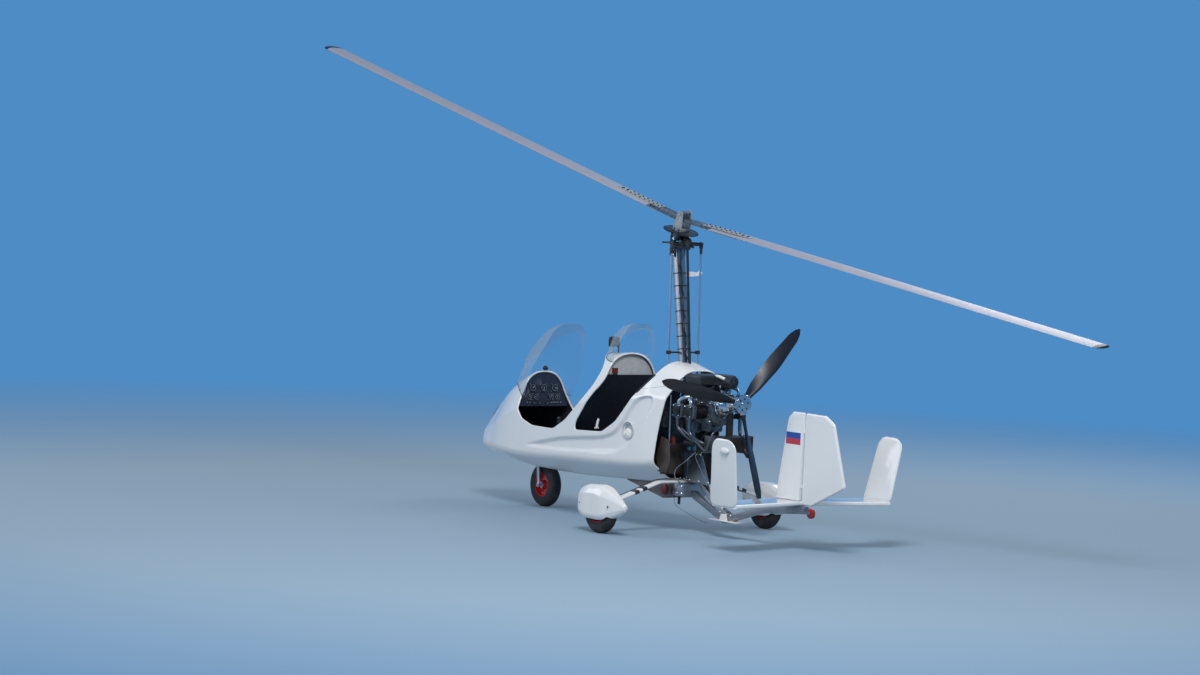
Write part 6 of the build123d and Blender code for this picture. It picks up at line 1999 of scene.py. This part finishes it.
def makeWalls():
    narrow = Matrix.Diagonal((1.0, cockpit["innerWidth"], 1.0, 1.0))
    for name, finish in (("cockpit_bulkhead", "navyLining"), ("rear_seat_panel", "navyLining"),
                         ("firewall", "darkAlloy")):
        dress(name, finish, 0.0).data.transform(narrow)
    dress("rear_panel", "greyPanel", 0.001)
    marks, dots = Kit("domeMarks"), Kit("domeSwitches")
    marks.block(at(*cockpit["domeMarkPlace"]), cockpit["domeMark"], 0.0005)
    marks.done("airframe", "darkRed", "grey_panel")
    for side, height, width in cockpit["domeSwitches"]:
        dots.drum([(0.0, width / 2), (0.004, width / 2), (0.006, width / 3)],
                  at(cockpit["domeMarkPlace"][0], side, height), (1, 0, 0), 18)
    dots.done("airframe", "blackPlastic", "grey_panel")
    return narrow


panel = {
    "station": 0.7984, "top": 1.167, "rise": 0.80,  # the panel's height is taken in by this share, from its top
    # side, height, radius
    "gauges": [(-0.118, 1.005, 0.038), (-0.150, 0.905, 0.031), (-0.082, 0.905, 0.031), (0.0, 1.005, 0.038),
               (0.118, 1.005, 0.038), (0.082, 0.905, 0.031), (0.150, 0.905, 0.031), (-0.096, 0.836, 0.018),
               (-0.040, 0.836, 0.018), (0.040, 0.836, 0.018)],
    # distance from the panel, share of the radius
    "bezel": [(0.0, 0.84), (0.0, 1.0), (0.007, 1.0), (0.0095, 0.95), (0.0095, 0.88), (0.0075, 0.84), (0.0, 0.84)],
    "dial": [(0.0, 0.85), (0.0072, 0.85)], "markLift": 0.0074, "tick": (0.72, 0.0006, 0.17, 0.045),
    "needle": (0.25, 0.0010, 0.78, 0.055), "needleTurn": (0.7, 1.31), "screwCircle": 1.14, "small": 0.02,
    "switches": [-0.180, -0.150, 0.086, 0.110, 0.134, 0.158, 0.182], "switchHeight": 0.838,
    "switch": [(0.0, 0.0065), (0.003, 0.0065), (0.0035, 0.004)], "toggle": (0.014, 0, 0.005), "toggleRadius": 0.0022,
    "compass": (0.770, 0.030, 1.205), "compassRadius": 0.0235, "footDrop": 0.034,
    "foot": [(0.0, 0.022), (0.004, 0.022), (0.008, 0.013), (0.022, 0.012)],
}


def raised(height):
    return panel["top"] - (panel["top"] - height) * panel["rise"]


def makePanel(narrow):
    form = panel
    board = dress("instrument_panel", "panelPaint", 0.0).data
    board.transform(narrow)
    for vert in board.vertices:
        vert.co.z = raised(vert.co.z)
    bezels, dials, marks = Kit("gaugeBezels"), Kit("gaugeDials"), Kit("gaugeMarks")
    screws = []

    def mark(surface, angle, radius, shape):
        circle, thick, long, wide = shape
        marks.block(surface + spoke(angle) * radius * circle, (thick, radius * long, radius * wide), 0.0, (angle, 0, 0))

    for order, (side, height, radius) in enumerate(form["gauges"]):
        centre = at(form["station"], side, raised(height))
        bezels.turned([(out, radius * share) for out, share in form["bezel"]], centre, (1, 0, 0), 30)
        dials.drum([(out, radius * share) for out, share in form["dial"]], centre, (1, 0, 0), 30)
        surface = centre + Vector((form["markLift"], 0, 0))
        large = radius > form["small"]
        ticks = 12 if large else 6
        for index in range(ticks):
            mark(surface, math.tau * index / ticks, radius, form["tick"])
        mark(surface, form["needleTurn"][0] + order * form["needleTurn"][1], radius, form["needle"])
        for quarter in range(4 if large else 0):
            way = spoke(math.tau * (quarter + 0.5) / 4)
            screws.append((centre + way * radius * form["screwCircle"] + Vector((0.0004, 0, 0)), (1, 0, 0)))
    for side in form["switches"]:
        foot = at(form["station"], side, raised(form["switchHeight"]))
        bezels.drum(form["switch"], foot, (1, 0, 0), 16)
        marks.rod(foot, foot + Vector(form["toggle"]), form["toggleRadius"], 8)
    bezels.done("airframe", "blackPlastic", "black_plastic")
    dials.done("airframe", "dialFace", "black_plastic")
    marks.done("airframe", "whitePaint", "white_paint")
    addBolts("panelScrews", screws, "airframe", "satinAlloy", 0.0026, 0.0022)
    kit = Kit("compassBody")
    centre, radius = at(*form["compass"]), form["compassRadius"]
    kit.ball(centre, radius)
    kit.collar(radius * 0.90, radius * 1.03, 0.012, centre - Vector((0, 0, 0.006)), (0, 0, 1), 36)
    kit.drum(form["foot"], centre - Vector((0, 0, form["footDrop"])), (0, 0, 1), 24)
    kit.done("airframe", "blackPlastic", "black_plastic", replaces="compass")


# Cushions, with the swell that the cloth simulation may give
cushions = {
    "half": 0.205, "thick": 0.095, "backThick": 0.075, "backLift": 0.0063, "shrink": 0.007, "round": 0.030,
    "voxel": 0.006, "pressure": 4.0, "frames": 20, "swell": 0.011, "groove": 0.0045, "grooveWidth": 0.0075,
    "pipingInset": 0.036, "pipingSteps": 72, "pipingRadius": 0.0035, "fewest": 40,
    # node, start and end station, height of its underside
    "seats": {"frontCushion": ("front_seat", 1.180, 1.565, 0.4935), "rearCushion": ("rear_seat", 1.880, 2.290, 0.516)},
    # lower and upper end of its line, and the part of the line that is padded
    "backs": {"frontBack": ((1.690, 0, 0.760), (1.975, 0, 1.150), (-0.2, 0.9)),
              "rearBack": ((2.360, 0, 0.640), (2.640, 0, 1.090), (0.0, 1.0))},
    # grooves across: shares of the length and half width; grooves along: side and share of the length
    "seatGrooves": ((-0.20, 0.05, 0.30), 0.14, 0.145, 0.40),
    "backGrooves": ((-0.28, -0.02, 0.24), 0.13, 0.138, 0.42),
    "headPad": (0.124, 0.098, 0.048), "headPlace": (1.800, 0, 1.511),
    "stand": [(1.828, 0.030, 1.402), (1.830, 0.030, 1.450), (1.826, 0.028, 1.500), (1.816, 0.026, 1.520)],
    "standFoot": [(0.0, 0.013), (0.005, 0.013), (0.008, 0.008)], "footPlace": (1.828, 0.030, 1.412),
}


def swell(piece):
    # a few frames of cloth under pressure, with every point kept near its start
    start = np.array([v.co for v in piece.data.vertices])
    cloth = piece.modifiers.new("cloth", "CLOTH")
    cloth.settings.use_pressure = True
    cloth.settings.uniform_pressure_force = cushions["pressure"]
    cloth.settings.effector_weights.gravity = 0.0
    cloth.point_cache.frame_end = cushions["frames"]
    for frameNumber in range(1, cushions["frames"] + 1):
        scene.frame_set(frameNumber)
    bake(piece)
    scene.frame_set(1)
    moved = np.array([v.co for v in piece.data.vertices]) - start
    length = np.maximum(np.linalg.norm(moved, axis=1), 1e-9)
    moved *= (np.minimum(length, cushions["swell"]) / length)[:, None]
    for vert, place, shift in zip(piece.data.vertices, start, moved):
        vert.co = place + shift


def pressGrooves(piece, top, channels):
    # channels: axis they lie across, place on that axis, half length
    spots = np.array([v.co for v in piece.data.vertices])
    high = np.clip((spots[:, 2] / top - 0.2) / 0.5, 0, 1)
    deep = np.zeros(len(spots))
    for axis, level, reach in channels:
        near = np.exp(-((spots[:, axis] - level) / cushions["grooveWidth"]) ** 2)
        deep = np.maximum(deep, near * np.clip((reach - np.abs(spots[:, 1 - axis])) / 0.02, 0, 1))
    for vert, push in zip(piece.data.vertices, deep * high * cushions["groove"]):
        vert.co.z -= push


def makePiping(piece, size):
    # two cords round the cushion's edge, laid on its final surface
    form = cushions
    shape = bmesh.new()
    shape.from_mesh(piece.data)
    tree = BVHTree.FromBMesh(shape)
    shape.free()
    piping = Kit(piece.name + "Piping")
    for side in (1, -1):
        height = side * (size[2] - form["pipingInset"]) / 2
        ring = []
        for index in range(form["pipingSteps"]):
            angle = math.tau * index / form["pipingSteps"]
            way = Vector((math.cos(angle), math.sin(angle), 0))
            far = way * (1.0 / max(abs(way.x) / (size[0] / 2), abs(way.y) / (size[1] / 2)) + 0.05)
            hit = tree.ray_cast(far + Vector((0, 0, height)), -way)[0]
            if hit:
                ring.append(hit)
        if len(ring) > form["fewest"]:
            piping.pipe(ring + [ring[0]], form["pipingRadius"], 8, 2)
    return piping.piece()


def makeCushion(name, node, width, length, thick, place, channels=()):
    # made flat in its own frame: X across, Y along and Z out of the padded face
    form = cushions
    size = [value - 2 * form["shrink"] for value in (width, length, thick)]
    shape = bmesh.new()
    bmesh.ops.create_cube(shape, size=1.0)
    shape.transform(Matrix.Diagonal((*size, 1.0)))
    bmesh.ops.bevel(shape, geom=shape.edges[:], offset=min(form["round"], thick * 0.4), segments=4, profile=0.5,
                    affect="EDGES", clamp_overlap=True)
    piece = toPiece(shape, name)
    modify(piece, "REMESH", mode="VOXEL", voxel_size=form["voxel"])
    swell(piece)
    modify(piece, "SUBSURF", levels=1, render_levels=1)
    pressGrooves(piece, size[2] / 2, channels)
    seam = makePiping(piece, size)
    for item in (piece, seam):
        item.data.transform(place)
        item.data.materials.clear()
    settle(piece, "airframe", "seatLeather", 80.0, node)
    settle(seam, "airframe", "blackPlastic", 80.0)


def facing(origin, along, out):
    along, out = Vector(along).normalized(), Vector(out).normalized()
    turn = Matrix((along.cross(out), along, out)).transposed().to_4x4()
    return Matrix.Translation(origin) @ turn


def grooves(form, length):
    shares, half, side, reach = form
    return [(1, share * length, half) for share in shares] + [(0, way * side, length * reach) for way in bothSides]


def makeSeats():
    form = cushions
    wide = 2 * form["half"]
    for name, (node, start, end, low) in form["seats"].items():
        length = end - start
        place = facing(at((start + end) / 2, 0, low + form["thick"] / 2), (1, 0, 0), (0, 0, 1))
        makeCushion(name, node, wide, length, form["thick"], place, grooves(form["seatGrooves"], length))
    for name, (low, high, shares) in form["backs"].items():
        run = Vector([end - start for start, end in zip(low, high)])
        out = Vector((-run.z, 0, run.x)).normalized()
        middle = at(*low) + run * (sum(shares) / 2) + out * (form["backLift"] + form["backThick"] / 2)
        length = run.length * (shares[1] - shares[0])
        makeCushion(name, None, wide, length, form["backThick"], facing(middle, run, out),
                    grooves(form["backGrooves"], length))


def makeHeadrest():
    form = cushions
    makeCushion("headPad", "headrest", *form["headPad"], facing(at(*form["headPlace"]), (0, 0, 1), (-1, 0, 0)))
    kit = Kit("headStand")
    for side in bothSides:
        kit.pipe([beside(place, side) for place in form["stand"]], 0.005, 12, 4)
        kit.drum(form["standFoot"], beside(form["footPlace"], side), (0.12, 0, 1), 18)
    kit.done("airframe", "blackPaint", "seat_leather")


sticks = {
    "places": [(1.090, 0.375), (1.860, 0.381)],  # station and height of the foot
    "rise": 0.426, "lean": 0.050, "footRise": 0.012, "radius": 0.0095, "gripStart": 0.100, "gripLength": 0.130,
    "socket": [(0.0, 0.020), (0.006, 0.022), (0.020, 0.020), (0.026, 0.010)],
    "grip": [(0.0, 0.0125), (0.004, 0.0145),
             *(ring for k in range(9) for ring in ((0.010 + k * 0.010, 0.0150), (0.014 + k * 0.010, 0.0134))),
             (0.104, 0.0165), (0.120, 0.0170), (0.128, 0.0120), (0.130, 0.0)],
    "bellows": [(0.0, 0.029), *(ring for k in range(5) for ring in (
        (0.004 + k * 0.010, 0.029 - k * 0.0035), (0.009 + k * 0.010, 0.024 - k * 0.0035))), (0.056, 0.010)],
    "bellowsDrop": 0.010,
}


def makeControls():
    form = sticks
    rods, grips = Kit("stickRods"), Kit("stickGrips")
    for along, low in form["places"]:
        foot = at(along, 0, low + form["footRise"])
        top = at(along - form["lean"], 0, low + form["rise"])
        way = (top - foot).normalized()
        rods.rod(foot, top - way * form["gripStart"], form["radius"], 18)
        rods.drum(form["socket"], foot - way * 0.004, way, 24)
        grips.drum(form["grip"], top - way * form["gripLength"], way, 24)
        grips.drum(form["bellows"], foot - Vector((0, 0, form["bellowsDrop"])), (0, 0, 1), 28)
    rods.done("airframe", "satinAlloy", "anodised", replaces="control_sticks")
    grips.done("airframe", "blackPlastic", "black_plastic")


def makeFloor():
    form = cockpit
    dress("rudder_pedals", "castAlloy", 0.003)
    dress("seat_pans", "blackPlastic", 0.004)
    pads, floor, latch = Kit("pedalGrips"), Kit("cockpitFloor"), Kit("latchTongue")
    for side in bothSides:
        for index in range(5):
            lift = Vector((0, 0, index * form["pedalPitch"]))
            pads.block(beside(form["pedalPlace"], side) + lift, form["pedal"], 0.0008)
    pads.done("airframe", "blackPlastic", "black_plastic")
    floor.block(at(*form["floorPlace"]), form["floor"], 0.001)
    floor.done("airframe", "navyLining", "dark_interior")
    latch.plate(form["latch"], 0.006, Matrix.Translation(at(*form["latchPlace"])) @ standing, 0.0018)
    along, ends, height = form["latchPin"]
    latch.rod(*(at(along, side, height) for side in ends), 0.008, 14)
    latch.done("airframe", "whitePaint", "white_paint")


makePanel(makeWalls())
makeSeats()
makeHeadrest()
makeControls()
makeFloor()
print("cockpit made")
# Small outside pieces
small = {
    "capPlace": (2.521, 0.787), "dishPlace": (2.521, 0.812), "dishRadius": 0.073, "dishDepth": 0.030,
    "lensStations": (0.062, 0.236), "lensHalf": 0.058, "lensProud": 0.0055, "lensSteps": (22, 14), "lensSheet": 0.004,
    "cap": [(0.0, 0.040), (0.014, 0.041), (0.018, 0.045), (0.024, 0.045), (0.030, 0.040), (0.035, 0.026), (0.037, 0.0)],
    "capGrip": (0.062, 0.010, 0.010),
    "sealStations": (2.56, 2.86), "sealLow": 1.13, "sealRadius": 0.0085, "sealGaps": (0.014, 0.08),
    "bump": (4.506, 0.828), "bumpLift": 0.016, "bumpRadius": 0.028, "bumpShape": (1.9, 0.55, 1.0),
}


def sideOfBody(along, height):
    return bodyTree.ray_cast(at(along, -1.0, height), Vector((0, 1, 0)))[0].y


def makeFuelCap():
    along, height = small["dishPlace"]
    radius = small["dishRadius"]
    skin = sideOfBody(along, height) + 0.010
    dish = Kit("fuelDish")
    deep = small["dishDepth"]
    dish.drum([(-0.003, radius * 0.99), (deep, radius * 1.02), (deep, radius * 0.985),
               (0.010, radius * 0.93), (0.002, radius * 0.82), (0.0, radius * 0.70)],
                at(along, skin + small["dishDepth"], height), (0, -1, 0), 48)
    # the dish's grey-blue finish is painted shade in the recess
    dish.done("airframe", "recessShadePaint", "white_gelcoat")
    cap = Kit("fuelCapDome")
    along, height = small["capPlace"]
    cap.drum(small["cap"], at(along, skin + deep - 0.001, height), (0, -1, 0), 40)
    cap.block(at(along, skin - 0.005, height), small["capGrip"], 0.003, (0, 0.5, 0))
    cap.done("airframe", "whitePaint", "white_gelcoat", replaces="fuel_cap")


def makeLens():
    # a dark lens let into the top of the nose, with a thin rim
    first, last = small["lensStations"]
    stepsLong, stepsWide = small["lensSteps"]
    shape = bmesh.new()
    rows = []
    rim = []
    for i in range(stepsLong + 1):
        share = i / stepsLong
        half = small["lensHalf"] * math.sqrt(max(1 - abs(2 * share - 1) ** 3.2, 0.0)) * (0.80 + 0.20 * share) + 0.001
        row = []
        for j in range(stepsWide + 1):
            side = half * (2 * j / stepsWide - 1)
            above = at(first + (last - first) * share, side, 2.0)
            spot, normal, _, _ = bodyTree.ray_cast(above, Vector((0, 0, -1)))
            normal = normal if normal.z > 0 else -normal
            lift = small["lensProud"] * min(1.0, 6 * min(share, 1 - share, j / stepsWide, 1 - j / stepsWide) + 0.25)
            row.append(shape.verts.new(spot + normal * lift))
            if j in (0, stepsWide):
                rim.append((j, spot + normal * 0.0005))
        rows.append(row)
    for a, b in zip(rows, rows[1:]):
        for i in range(stepsWide):
            shape.faces.new((a[i], b[i], b[i + 1], a[i + 1]))
    piece = toPiece(shape, "noseLens")
    modify(piece, "SOLIDIFY", thickness=small["lensSheet"], offset=-1.0)
    settle(piece, "airframe", "lampGlass", 60.0, "nose_lamp")
    kit = Kit("lensRim")
    port = [spot for j, spot in rim if j == 0]
    starboard = [spot for j, spot in rim if j != 0]
    ring = port + list(reversed(starboard))
    kit.pipe(ring + [ring[0]], 0.0022, 8, 2)
    kit.done("airframe", "blackPlastic", "black_plastic", 80.0)


def makeCowlSeal():
    # black seal over the cowl's front edge, from side to side
    kit = Kit("cowlSeal")
    first, last = small["sealStations"]
    near, far = small["sealGaps"]
    for loop in bodyLoops:
        run = [spot - normal * 0.001 for spot, normal in loop
               if first < spot.x + originStation < last and spot.z > small["sealLow"]]
        if len(run) > 20:
            order = [run[0]]
            left = run[1:]
            while left:
                spot = min(left, key=lambda item: (item - order[-1]).length)
                left.remove(spot)
                if near < (spot - order[-1]).length < far:
                    order.append(spot)
            if len(order) > 8:
                kit.pipe(order, small["sealRadius"], 10, 3)
    kit.done("airframe", "blackPlastic", "black_plastic", 80.0)


def makeTipBump():
    along, height = small["bump"]
    away, foot = surfaces["tipFoot"]
    side = away + (height - foot) * math.tan(math.radians(surfaces["lean"])) + small["bumpLift"]
    kit = Kit("tipBump")
    kit.ball(at(along, -side, height), small["bumpRadius"], small["bumpShape"])
    kit.done("airframe", "whitePaint", "white_gelcoat", 80.0)


makeFuelCap()
makeLens()
makeCowlSeal()
makeTipBump()
print("small pieces made")


setCamera()
setLamps()
makeStudio()
print("studio set")
